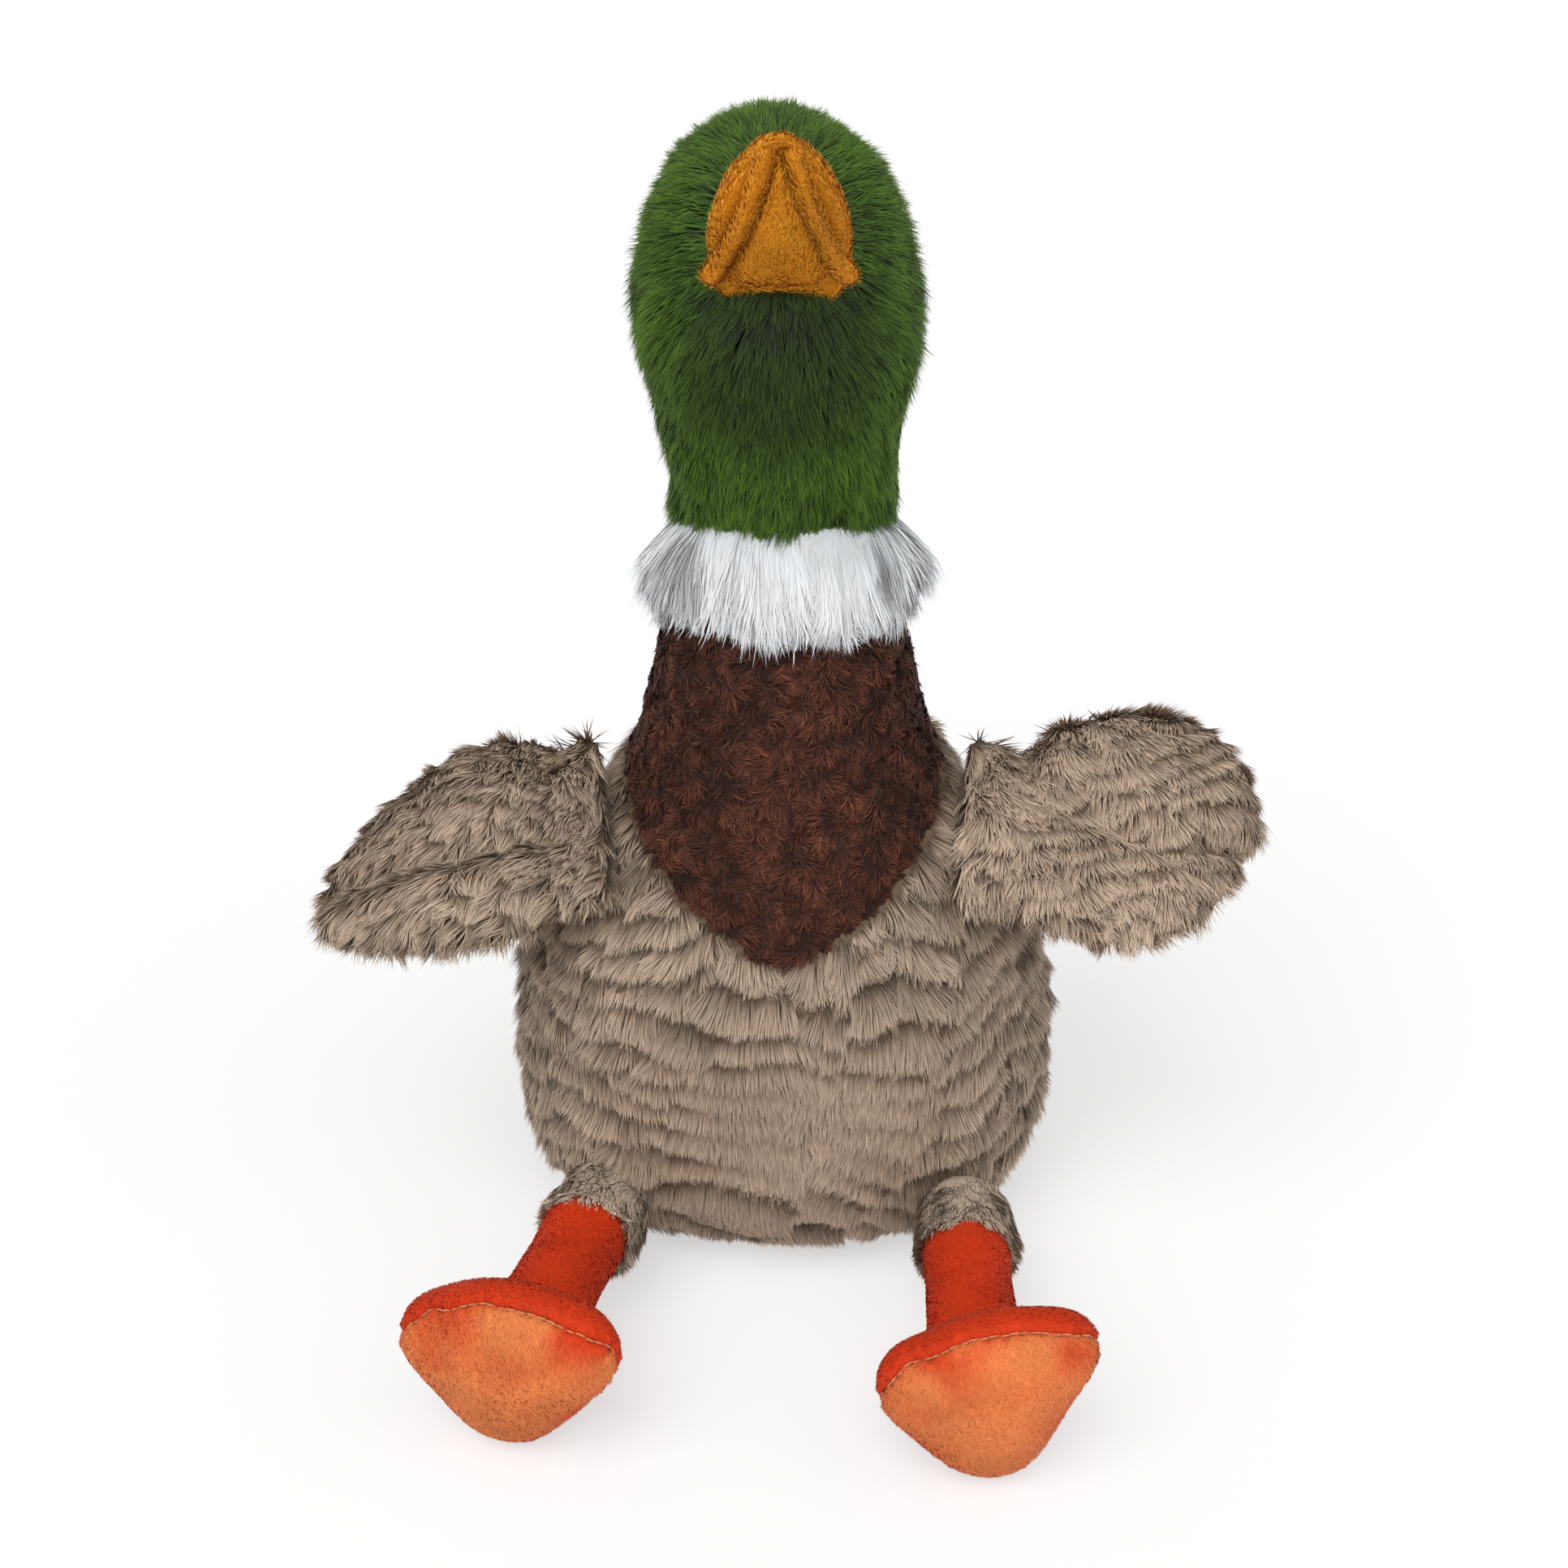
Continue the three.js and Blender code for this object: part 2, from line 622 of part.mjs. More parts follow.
const neckHole = boxSolid(spaceFrom(), spaceTo(null, null, neckJoint.z - NECK_HOLE_DROP));

// An eye's own frame: Z out of the head, from the top of the backing that the eye sits on.
function eyeMatrix(side) {
  const angle = side > 0 ? EYE_ANGLE : Math.PI - EYE_ANGLE;
  const backing = headGrown(FILL_GAP + BACKING);
  const seat = pointOn(backing, neckJoint.z + EYE_HEIGHT, angle);
  const out = normalOn(backing, neckJoint.z + EYE_HEIGHT, angle);
  const across = new THREE.Vector3(0, 0, 1).cross(out).normalize();
  return new THREE.Matrix4().makeBasis(across, out.clone().cross(across), out).setPosition(seat);
}
const disc = (radius, from, to) => [
  [0, from],
  [radius, from],
  [radius, to],
  [0, to],
];
const eyeProfile = [
  [0, -SHANK_LENGTH],
  [SHANK_RADIUS, -SHANK_LENGTH],
  [SHANK_RADIUS, SHANK_GAP],
  [EYE_RADIUS, SHANK_GAP],
  [EYE_RADIUS, SHANK_GAP + EYE_FLANGE],
  ...DOME_ANGLES.map((angle) => [
    EYE_RADIUS * Math.cos(angle),
    SHANK_GAP + EYE_FLANGE + (EYE_BULGE - EYE_FLANGE) * Math.sin(angle),
  ]),
  [0, SHANK_GAP + EYE_BULGE],
];
const washerTop = -(BACKING + FILL_GAP + WASHER_SEAT);
const washerBottom = washerTop - WASHER_THICKNESS;
const washerProfile = [
  [SHANK_RADIUS + SHANK_GAP, washerBottom],
  [WASHER_RADIUS, washerBottom],
  [WASHER_RADIUS, washerTop],
  [SHANK_RADIUS + SHANK_GAP, washerTop],
  [SHANK_RADIUS + SHANK_GAP, washerBottom],
];
const eyePocket = (side) =>
  turnedSolid(disc(EYE_RADIUS + SHANK_GAP, 0, CUT_OVERRUN), EYE_SIDES, eyeMatrix(side)).add(
    turnedSolid(disc(SHANK_RADIUS + SHANK_GAP, -CUT_OVERRUN / 2, CUT_OVERRUN), EYE_SIDES, eyeMatrix(side)),
  );
const washerPocket = (side) => {
  const shank = disc(SHANK_RADIUS + SHANK_GAP, -SHANK_LENGTH - SHANK_GAP, 0);
  const washer = disc(WASHER_RADIUS + SHANK_GAP, washerBottom - SHANK_GAP, CUT_OVERRUN);
  const matrix = eyeMatrix(side);
  return turnedSolid(shank, EYE_SIDES, matrix).add(turnedSolid(washer, EYE_SIDES, matrix));
};

const greenShell = headSolid(GREEN_COVER).subtract(headSolid(FILL_GAP)).subtract(neckHole);
const headHalf = (side) => {
  const low = side > 0 ? spaceFrom(SEAM_GAP / 2, null, null) : spaceFrom();
  const high = side > 0 ? spaceTo() : spaceTo(-SEAM_GAP / 2, null, null);
  return boxSolid(low, high);
};
const neckStuffing = ballSolid(neckJoint, NECK_RADIUS - JOINT_GAP, HEAD_SIDES);
const neckClearance = ballSolid(neckJoint, NECK_RADIUS, HEAD_SIDES);

for (const [name, side] of Object.entries({ left: -1, right: 1 })) {
  addPiece(`head_${name}`, greenShell.intersect(headHalf(side)).subtract(eyePocket(side)), GREEN_FUR);
  addPiece(`eye_${name}`, turnedSolid(eyeProfile, EYE_SIDES, eyeMatrix(side)), BLACK_PLASTIC);
  addPiece(`eye_washer_${name}`, turnedSolid(washerProfile, EYE_SIDES, eyeMatrix(side)), WHITE_PLASTIC);
}
const aboveNeck = boxSolid(spaceFrom(null, null, neckJoint.z), spaceTo());
addPiece(
  "head_stuffing",
  headSolid(0)
    .intersect(aboveNeck)
    .subtract(neckClearance)
    .subtract(washerPocket(-1))
    .subtract(washerPocket(1)),
  STUFFING,
);
addPiece("neck_stuffing", neckStuffing, STUFFING);

// Ruff, snug on the trunk's neck and shoulders, with its lip round the head's ball end

const neckWidth = trunkForm.at(-1).across + BROWN_COVER;
const lipRadius = NECK_RADIUS + GREEN_COVER + RUFF_EASE;
const ruffProfile = [
  [NECK_RADIUS, -RUFF_DROP],
  ...RUFF_SHARES.map(([drop, out]) => [neckWidth + out * RUFF_FLARE, -drop * RUFF_DROP]),
  [lipRadius + RUFF_LIP, 0],
  [NECK_RADIUS, 0],
  [NECK_RADIUS, -RUFF_DROP],
];
const ruff = turnedSolid(ruffProfile, RUFF_SIDES, new THREE.Matrix4().setPosition(neckJoint));
const ruffInside = ballSolid(neckJoint, lipRadius, TRUNK_SIDES).add(trunkSolid(BROWN_COVER + SEAM_GAP));
addPiece("neck_ruff", ruff.subtract(ruffInside), WHITE_FUR);

// Bill, cut to sit on the front of the head

const billRoot = new THREE.Vector3(BILL_ASIDE, neckJoint.y - BILL_FORWARD, neckJoint.z + BILL_HEIGHT);
const billOut = new THREE.Vector3(0, -Math.cos(BILL_RISE), Math.sin(BILL_RISE));
const billUp = new THREE.Vector3(0, Math.sin(BILL_RISE), Math.cos(BILL_RISE));
const billPlace = (across, side, along) =>
  billRoot
    .clone()
    .addScaledVector(billOut, along)
    .addScaledVector(billUp, side)
    .addScaledVector(toLeft, -across);
const billForm = (inset) =>
  BILL_SHARES.map(([length, width, upper, lower]) => ({
    along: length * (BILL_LENGTH - inset),
    across: width * (BILL_HALF_WIDTH - inset),
    low: lower * (BILL_LOWER - inset),
    high: upper * (BILL_UPPER - inset),
    shift: length * (MOUTH_DROP + MOUTH_RISE) - MOUTH_DROP,
  }));
const billSolid = (thickness, inset) =>
  formSolid(grownForm(billForm(inset), thickness, true, false), BILL_SIDES, 2, billPlace);
const headFront = headSolid(GREEN_COVER + SEAM_GAP);

// Everything above the mouth seam, which runs from below the bill's middle at the head to above it at
// the tip.
function aboveMouth(gap) {
  const slant = Math.atan2(MOUTH_DROP + MOUTH_RISE, BILL_LENGTH);
  const seam = new THREE.Matrix4().makeBasis(toLeft, billOut, billUp).setPosition(billRoot);
  seam.multiply(new THREE.Matrix4().makeTranslation(0, 0, gap - MOUTH_DROP));
  seam.multiply(new THREE.Matrix4().makeRotationX(slant));
  const reach = 2 * BILL_LENGTH;
  return boxSolid(new THREE.Vector3(-reach, -reach, 0), new THREE.Vector3(reach, reach, reach), seam);
}
const billShell = (inset) =>
  billSolid(VELVET_COVER, inset).subtract(billSolid(FILL_GAP, inset)).subtract(headFront);
addPiece("bill_upper", billShell(0).intersect(aboveMouth(0)), YELLOW_VELVET);
addPiece("bill_lower", billShell(LOWER_BILL_INSET).subtract(aboveMouth(-SEAM_GAP)), YELLOW_VELVET);
addPiece("bill_stuffing", billSolid(0, LOWER_BILL_INSET).subtract(headFront), STUFFING);

// Wings

for (const [name, wing] of Object.entries(WINGS)) {
  const { matrix, halfHem } = wingFrame(wing);
  const place = (chord, face, span) => new THREE.Vector3(span, chord, face).applyMatrix4(matrix);
  const padding = wing.shares.map(([span, chord, up, thickness]) => ({
    along: span * (wing.span - WING_COVER),
    across: chord * WING_HALF_CHORD,
    low: thickness * WING_HALF_THICKNESS,
    high: thickness * WING_HALF_THICKNESS,
    lift: up * WING_HALF_CHORD + span * wing.sweep,
    shift: -wing.side * wing.curl * span ** 2,
  }));
  const hem = HEM_SHARES.map(([span, thickness]) => ({
    along: span * HEM_HALF_THICKNESS,
    across: halfHem,
    low: thickness * HEM_HALF_THICKNESS,
    high: thickness * HEM_HALF_THICKNESS,
  }));
  const blade = (thickness) => grownForm(padding, thickness, false, false);
  const coverForm = [...hem, ...grownForm(padding, WING_COVER, true, false)];
  const wingSolid = (sections) => formSolid(sections, WING_SIDES, 2, place);
  const shell = wingSolid(coverForm).subtract(wingSolid(blade(FILL_GAP)));
  const reach = wing.span + CUT_OVERRUN;
  const facing = boxSolid(
    new THREE.Vector3(-reach, -reach, 0),
    new THREE.Vector3(reach, reach, reach),
    matrix,
  );
  const behind = boxSolid(
    new THREE.Vector3(-reach, -reach, -reach),
    new THREE.Vector3(reach, reach, -SEAM_GAP),
    matrix,
  );
  const [upper, under] = wing.side > 0 ? [facing, behind] : [behind, facing];
  addPiece(`wing_top_${name}`, shell.intersect(upper), TAUPE_FUR);
  addPiece(`wing_under_${name}`, shell.intersect(under), TAUPE_FUR);
  addPiece(`wing_stuffing_${name}`, wingSolid(padding), STUFFING);
}

// Legs and feet

// A foot's outline through its arcs, grown by a cover's thickness and then scaled about its middle.
function footOutline(arcs, grow, scale) {
  return arcs.flatMap(([x, y, radius, from, to]) => {
    const steps = Math.ceil((to - from) / FOOT_ARC_STEP);
    return [...Array(steps + 1).keys()].map((k) => {
      const angle = radians(from + ((to - from) * k) / steps);
      const reach = radius + grow;
      const point = new THREE.Vector2(x + reach * Math.cos(angle), y + reach * Math.sin(angle));
      return point.multiplyScalar(scale);
    });
  });
}

for (const [name, leg] of Object.entries(LEGS)) {
  const { matrix, middle, out } = legFrame(leg);
  const place = (across, side, along) => new THREE.Vector3(across, side, along).applyMatrix4(matrix);
  const legSections = (radius) => [
    ...[LEG_ROOT, LEG_LENGTH / 2].map((along, k) => ({
      along,
      across: radius * (k ? LEG_WAIST_SHARE : 1),
      low: radius * (k ? LEG_WAIST_SHARE : 1),
      high: radius * (k ? LEG_WAIST_SHARE : 1),
    })),
    ...LEG_BALL_ANGLES.map((angle) => {
      const reach = radius * Math.cos(angle);
      return { along: LEG_LENGTH + radius * Math.sin(angle), across: reach, low: reach, high: reach };
    }),
  ];
  const legSolid = (radius) => formSolid(legSections(radius), LEG_SIDES, 2, place);
  const sleeve = LEG_RADIUS + VELVET_COVER;
  const bore = [LEG_ROOT - FILL_GAP, LEG_LENGTH].map((along) => {
    const reach = sleeve + FILL_GAP;
    return { along, across: reach, low: reach, high: reach };
  });
  addPiece(
    `thigh_${name}`,
    ballSolid(middle, THIGH_RADIUS, BALL_SIDES).subtract(formSolid(bore, LEG_SIDES, 2, place)),
    TAUPE_FUR,
  );
  const openRoot = [-CUT_OVERRUN, LEG_ROOT + FILL_GAP].map((along) => {
    const reach = LEG_RADIUS + FILL_GAP;
    return { along, across: reach, low: reach, high: reach };
  });
  const legShell = legSolid(sleeve).subtract(legSolid(LEG_RADIUS + FILL_GAP));
  addPiece(`leg_${name}`, legShell.subtract(formSolid(openRoot, LEG_SIDES, 2, place)), ORANGE_VELVET);
  addPiece(`leg_stuffing_${name}`, legSolid(LEG_RADIUS), STUFFING);

  const ankle = middle.clone().addScaledVector(out, LEG_LENGTH);
  const footTurn = matrix.clone().setPosition(0, 0, 0);
  footTurn.multiply(new THREE.Matrix4().makeRotationX(leg.lean));
  footTurn.multiply(new THREE.Matrix4().makeRotationZ(leg.roll));
  const footAway = new THREE.Vector3(0, 0, 1).applyMatrix4(footTurn);
  const footUp = new THREE.Vector3(0, 1, 0).applyMatrix4(footTurn);
  const footAcross = new THREE.Vector3(1, 0, 0).applyMatrix4(footTurn);
  const ankleToFoot = ANKLE_STAND_OFF + FOOT_HALF_THICKNESS + VELVET_COVER;
  const footMiddle = ankle
    .clone()
    .addScaledVector(footAway, ankleToFoot)
    .addScaledVector(footAcross, leg.aside);
  const footMatrix = footTurn.clone().setPosition(footMiddle);
  const footLayers = (grow) =>
    FOOT_LAYER_SHARES.map((share) => {
      const left = Math.max(1 - Math.abs(share) ** FOOT_ROUNDNESS, FOOT_FACE_SHARE);
      const depth = share * (FOOT_HALF_THICKNESS + grow);
      return footOutline(leg.arcs, grow, left ** (1 / FOOT_ROUNDNESS)).map((point) =>
        new THREE.Vector3(point.x, point.y, depth).applyMatrix4(footMatrix),
      );
    });
  const lowest = Math.min(...footLayers(VELVET_COVER).flat().map((point) => point.z));
  footMiddle.addScaledVector(footUp, (HEEL_GAP - lowest) / footUp.z);
  footMatrix.setPosition(footMiddle);
  const footSolid = (grow) => loftedSolid(footLayers(grow));
  const ankleDip = ballSolid(ankle, sleeve + JOINT_GAP, LEG_SIDES);
  const soleSide = boxSolid(
    new THREE.Vector3(-reachOut, -reachOut, 0),
    new THREE.Vector3(reachOut, reachOut, reachOut),
    footMatrix,
  );
  const upperSide = boxSolid(
    new THREE.Vector3(-reachOut, -reachOut, -reachOut),
    new THREE.Vector3(reachOut, reachOut, -SEAM_GAP),
    footMatrix,
  );
  const velvet = footSolid(VELVET_COVER).subtract(footSolid(FILL_GAP)).subtract(ankleDip);
  addPiece(`foot_upper_${name}`, velvet.intersect(upperSide), ORANGE_VELVET);
  addPiece(`foot_sole_${name}`, velvet.intersect(soleSide), SOLE_VELVET);
  addPiece(`foot_stuffing_${name}`, footSolid(0).subtract(ankleDip), STUFFING);
}

export default duck;
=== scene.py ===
# A plush duck that sits up with its legs out in front. It is built in the order in which it is sewn: the
# stuffed trunk, the fleece bib, the head, the fur ruff, the bill, the eyes, the wings, the tail, the legs and
# the feet. Metres, +Z up, the duck faces -Y. Left and right are those of someone who faces the duck.
import json
import math

import bpy
import numpy as np
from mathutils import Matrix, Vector
from mathutils.kdtree import KDTree


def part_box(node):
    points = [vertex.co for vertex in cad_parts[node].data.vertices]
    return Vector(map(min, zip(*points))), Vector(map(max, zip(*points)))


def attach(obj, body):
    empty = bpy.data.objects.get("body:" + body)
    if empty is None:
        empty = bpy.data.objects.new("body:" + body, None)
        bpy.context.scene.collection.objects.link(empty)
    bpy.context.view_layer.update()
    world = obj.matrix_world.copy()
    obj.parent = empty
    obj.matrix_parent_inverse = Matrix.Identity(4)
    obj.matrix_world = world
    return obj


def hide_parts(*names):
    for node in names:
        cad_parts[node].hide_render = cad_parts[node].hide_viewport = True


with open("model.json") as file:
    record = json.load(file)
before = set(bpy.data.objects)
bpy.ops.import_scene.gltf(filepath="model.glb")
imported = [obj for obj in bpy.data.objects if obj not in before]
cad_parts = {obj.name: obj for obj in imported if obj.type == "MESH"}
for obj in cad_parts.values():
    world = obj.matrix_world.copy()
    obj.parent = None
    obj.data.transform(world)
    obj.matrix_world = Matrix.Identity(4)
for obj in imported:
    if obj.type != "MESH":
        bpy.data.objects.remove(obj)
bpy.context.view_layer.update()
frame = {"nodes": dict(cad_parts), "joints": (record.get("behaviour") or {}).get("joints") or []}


# The studio: a white floor that runs past the view, soft light from the upper left and a weaker one from the
# right, and the camera, which stands in front of the duck and looks down on it.
def placed(name, data):
    """A new object that shows the data."""
    made = bpy.data.objects.new(name, data)
    bpy.context.scene.collection.objects.link(made)
    return made


camera_distance = 0.620
camera_rise = math.radians(28)
view_half_width = 0.227
aim = Vector((0, 0, 0.132))
lens = bpy.data.cameras.new("camera")
lens.lens = lens.sensor_width / 2 * camera_distance / view_half_width
camera = placed("camera", lens)
camera.location = aim + camera_distance * Vector((0, -math.cos(camera_rise), math.sin(camera_rise)))
camera.rotation_euler = (math.pi / 2 - camera_rise, 0, 0)
bpy.context.scene.camera = camera
bpy.context.scene.view_settings.view_transform = "Standard"

for name, strength, spread, tilt, turn in (
    ("key_light", 2.1, 50, 38, -28),
    ("fill_light", 0.7, 70, 55, 50),
):
    lamp = bpy.data.lights.new(name, "SUN")
    lamp.energy = strength
    lamp.angle = math.radians(spread)
    placed(name, lamp).rotation_euler = (math.radians(tilt), 0, math.radians(turn))


def wired(tree, kind, inputs=(), **settings):
    """A new node with its settings, and with each input linked or set."""
    made = tree.nodes.new(kind)
    for setting, value in settings.items():
        setattr(made, setting, value)
    for socket, source in dict(inputs).items():
        if isinstance(source, bpy.types.NodeSocket):
            tree.links.new(source, made.inputs[socket])
        else:
            made.inputs[socket].default_value = source
    return made


def studio_world():
    """White to the eye, and half as bright as a light."""
    world = bpy.data.worlds.new("studio")
    world.use_nodes = True
    tree = world.node_tree
    background = tree.nodes["Background"]
    background.inputs["Color"].default_value = (1, 1, 1, 1)
    sight = wired(tree, "ShaderNodeLightPath").outputs
    seen = sight["Is Camera Ray"]
    for ray in ("Is Glossy Ray", "Is Transmission Ray"):
        seen = wired(tree, "ShaderNodeMath", {0: seen, 1: sight[ray]}, operation="MAXIMUM").outputs[0]
    strength = wired(tree, "ShaderNodeMapRange", {"Value": seen, "To Min": 0.5, "To Max": 1.0})
    tree.links.new(strength.outputs[0], background.inputs["Strength"])
    return world


def new_material(name):
    """A material, its node tree and its main shader."""
    material = bpy.data.materials.new(name)
    material.use_nodes = True
    tree = material.node_tree
    return material, tree, tree.nodes["Principled BSDF"]


def floor_material():
    """White paper that takes the duck's shadow, with a glow for the eye alone that hides its far edge."""
    material, tree, paper = new_material("floor_paper")
    paper.inputs["Base Color"].default_value = (0.9, 0.9, 0.9, 1)
    paper.inputs["Roughness"].default_value = 0.9
    paper.inputs["Specular IOR Level"].default_value = 0
    glow = wired(tree, "ShaderNodeEmission", {"Strength": 1})
    sight = wired(tree, "ShaderNodeLightPath")
    seen = wired(tree, "ShaderNodeMath", {0: sight.outputs["Is Camera Ray"], 1: 0.55}, operation="MULTIPLY")
    mix = wired(tree, "ShaderNodeMixShader", {0: seen.outputs[0], 1: paper.outputs[0], 2: glow.outputs[0]})
    tree.links.new(mix.outputs[0], tree.nodes["Material Output"].inputs["Surface"])
    return material


bpy.context.scene.world = studio_world()
floor_half = 6
floor_mesh = bpy.data.meshes.new("floor")
floor_corners = [(x * floor_half, y * floor_half, 0) for x, y in ((-1, -1), (1, -1), (1, 1), (-1, 1))]
floor_mesh.from_pydata(floor_corners, [], [(0, 1, 2, 3)])
floor_mesh.materials.append(floor_material())
placed("floor", floor_mesh)


# Trunk: one stuffed form from the seat to the neck, which leans back as it rises. Its cover is taupe brushed
# plush on a woven backing: the pile lies downwards in wavy rows of tufts that overlap like tiles.
mm = 0.001


def hashed(cells, seed):
    """A number from 0 to 1 for each row of whole numbers."""
    mixed = np.full(len(cells), seed * 7919 + 104729, np.int64)
    for column in cells.T:
        mixed = (mixed * 1103515245 + column.astype(np.int64) * 12345 + 2531011) & 0x7FFFFFFF
        mixed ^= mixed >> 15
    mixed = (mixed * 1103515245 + 12345) & 0x7FFFFFFF
    return ((mixed >> 7) & 0xFFFF) / 0xFFFF


def ripple(points, size, seed):
    """Smooth noise from -1 to 1 with waves of about that size."""
    at = points / size
    low = np.floor(at).astype(np.int64)
    part = at - low
    part = part * part * (3 - 2 * part)
    total = np.zeros(len(points))
    for corner in np.ndindex(*(2,) * points.shape[1]):
        weight = np.prod(np.where(np.array(corner, bool), part, 1 - part), axis=1)
        total += weight * hashed(low + np.array(corner), seed)
    return total * 2 - 1


def eased(value, low, high):
    """Rises smoothly from 0 at the low value to 1 at the high one."""
    part = np.clip((value - low) / (high - low), 0, 1)
    return part * part * (3 - 2 * part)


def smooth_rows(rows, count):
    """Rows of numbers along a smooth curve through the given rows."""
    rows = np.array(rows, float)
    padded = np.vstack([2 * rows[0] - rows[1], rows, 2 * rows[-1] - rows[-2]])
    at = np.linspace(0, len(rows) - 1 - 1e-9, count)
    k = at.astype(int)
    t = (at - k)[:, None]
    a, b, c, d = (padded[k + step] for step in range(4))
    return b + 0.5 * t * (c - a + t * (2 * a - 5 * b + 4 * c - d + t * (3 * (b - c) + d - a)))


def lofted(sections, columns, squareness=2):
    """Rings of points through sections of [along, half width, low reach, high reach, shift, lift]."""
    angle = 2 * np.pi * np.arange(columns) / columns
    cos = np.sign(np.cos(angle)) * np.abs(np.cos(angle)) ** (2 / squareness)
    sin = np.sign(np.sin(angle)) * np.abs(np.sin(angle)) ** (2 / squareness)
    along, across, low, high, shift, lift = (column[:, None] for column in np.array(sections).T)
    reach = np.where(sin < 0, low, high)
    return np.stack([cos * across + lift, sin * reach + shift, along + 0 * cos], axis=2)


def unit(vectors, least=1e-9):
    """The vectors, each brought to a length of 1."""
    return vectors / np.maximum(np.linalg.norm(vectors, axis=1, keepdims=True), least)


def plain_mesh(made):
    """The mesh that an object's modifiers make of it."""
    return bpy.data.meshes.new_from_object(made.evaluated_get(bpy.context.evaluated_depsgraph_get()))


class Skin:
    """A closed form of rings of points, with a pole at each end or joined end to end as a hoop."""

    def __init__(self, rings, hoop=False):
        rows, columns = self.shape = rings.shape[:2]
        grid = np.arange(rows * columns).reshape(rows, columns)
        upper = np.roll(grid, -1, axis=0) if hoop else grid[1:]
        lower = grid if hoop else grid[:-1]
        turned = np.roll(lower, -1, axis=1), np.roll(upper, -1, axis=1)
        self.faces = np.stack([lower, turned[0], turned[1], upper], 2).reshape(-1, 4).tolist()
        self.points = rings.reshape(-1, 3)
        if not hoop:
            self.points = np.vstack([self.points, rings[0].mean(0), rings[-1].mean(0)])
            for ring, pole, step in ((grid[0], rows * columns, -1), (grid[-1], rows * columns + 1, 1)):
                pair = (ring, np.roll(ring, -1))[::step]
                self.faces += np.stack([*pair, 0 * ring + pole], 1).tolist()
        once = np.arange(columns) / columns
        self.turn = np.concatenate([np.tile(once, rows), [] if hoop else 2 * [once.mean()]])
        self.settle()

    def settle(self):
        """Works out the outward direction at each point."""
        quads = np.array([face if len(face) == 4 else face + face[-1:] for face in self.faces])
        a, b, c, d = (self.points[quads[:, i]] for i in range(4))
        square = np.cross(c - a, d - b)
        total = np.zeros_like(self.points)
        for i in range(4):
            np.add.at(total, quads[:, i], square)
        self.out = unit(total, 1e-12)

    def grow(self, by):
        """Moves each point outwards."""
        self.points = self.points + self.out * np.reshape(by, (-1, 1))
        self.settle()

    def halved(self):
        """The same form with every other ring, and every other point of each."""
        rows, columns = self.shape
        rings = self.points[: rows * columns].reshape(rows, columns, 3)
        return Skin(np.concatenate([rings[:-1:2, ::2], rings[-1:, ::2]]))

    def tangent(self, direction):
        """The direction as it runs on the surface at each point."""
        return unit(direction - self.out * (direction * self.out).sum(1, keepdims=True))

    def mesh_object(self, name, keep=None, **fields):
        """The form as an object, or the part of it whose points are kept, with fields as attributes."""
        faces = self.faces
        used = np.arange(len(self.points))
        if keep is not None:
            faces = [face for face in faces if keep[face].all()]
            used = np.unique(np.concatenate([np.array(face) for face in faces]))
            place = np.zeros(len(self.points), int)
            place[used] = np.arange(len(used))
            faces = [place[face].tolist() for face in faces]
        mesh = bpy.data.meshes.new(name)
        mesh.from_pydata(self.points[used].tolist(), [], faces)
        mesh.polygons.foreach_set("use_smooth", np.ones(len(faces), bool))
        for field, values in fields.items():
            vector = values.ndim == 2
            layer = mesh.attributes.new(field, "FLOAT_VECTOR" if vector else "FLOAT", "POINT")
            layer.data.foreach_set("vector" if vector else "value", values[used].astype(np.float32).ravel())
        return placed(name, mesh)


def stuff(skin, voxel, pressure, most):
    """Swells a coarse copy of the form as cloth under pressure, and moves the form's points with it."""
    pad = skin.mesh_object("pad")
    remesh = pad.modifiers.new("remesh", "REMESH")
    remesh.mode = "VOXEL"
    remesh.voxel_size = voxel
    coarse = plain_mesh(pad)
    pad.modifiers.clear()
    pad.data = coarse
    start = np.array([v.co for v in coarse.vertices])
    cloth = pad.modifiers.new("cloth", "CLOTH")
    cloth.settings.use_pressure = True
    cloth.settings.uniform_pressure_force = pressure
    cloth.settings.effector_weights.gravity = 0
    cloth.settings.bending_stiffness = 0.4
    last_frame = 20
    cloth.point_cache.frame_end = last_frame
    for step in range(last_frame):
        bpy.context.scene.frame_set(step + 1)
    swollen = pad.evaluated_get(bpy.context.evaluated_depsgraph_get()).to_mesh()
    moved = np.array([v.co for v in swollen.vertices]) - start
    moved -= moved.mean(0)
    size = np.linalg.norm(moved, axis=1, keepdims=True)
    moved *= np.minimum(1, most / np.maximum(size, 1e-9))
    tree = KDTree(len(start))
    for k, point in enumerate(start):
        tree.insert(point, k)
    tree.balance()
    for k, point in enumerate(skin.points):
        near = tree.find_n(point, 4)
        weights = np.array([1 / (distance + voxel / 8) for _, _, distance in near])
        skin.points[k] += weights @ moved[[i for _, i, _ in near]] / weights.sum()
    bpy.data.objects.remove(pad)
    bpy.context.scene.frame_set(1)
    skin.settle()


def geometry_tree(name, sockets):
    """A tree with named inputs and one output, and those inputs as sockets to read."""
    tree = bpy.data.node_groups.new(name, "GeometryNodeTree")
    for title, kind in sockets.items():
        tree.interface.new_socket(title, in_out="INPUT", socket_type="NodeSocket" + kind)
    tree.interface.new_socket("Made", in_out="OUTPUT", socket_type="NodeSocketGeometry")
    return tree, tree.nodes.new("NodeGroupInput").outputs


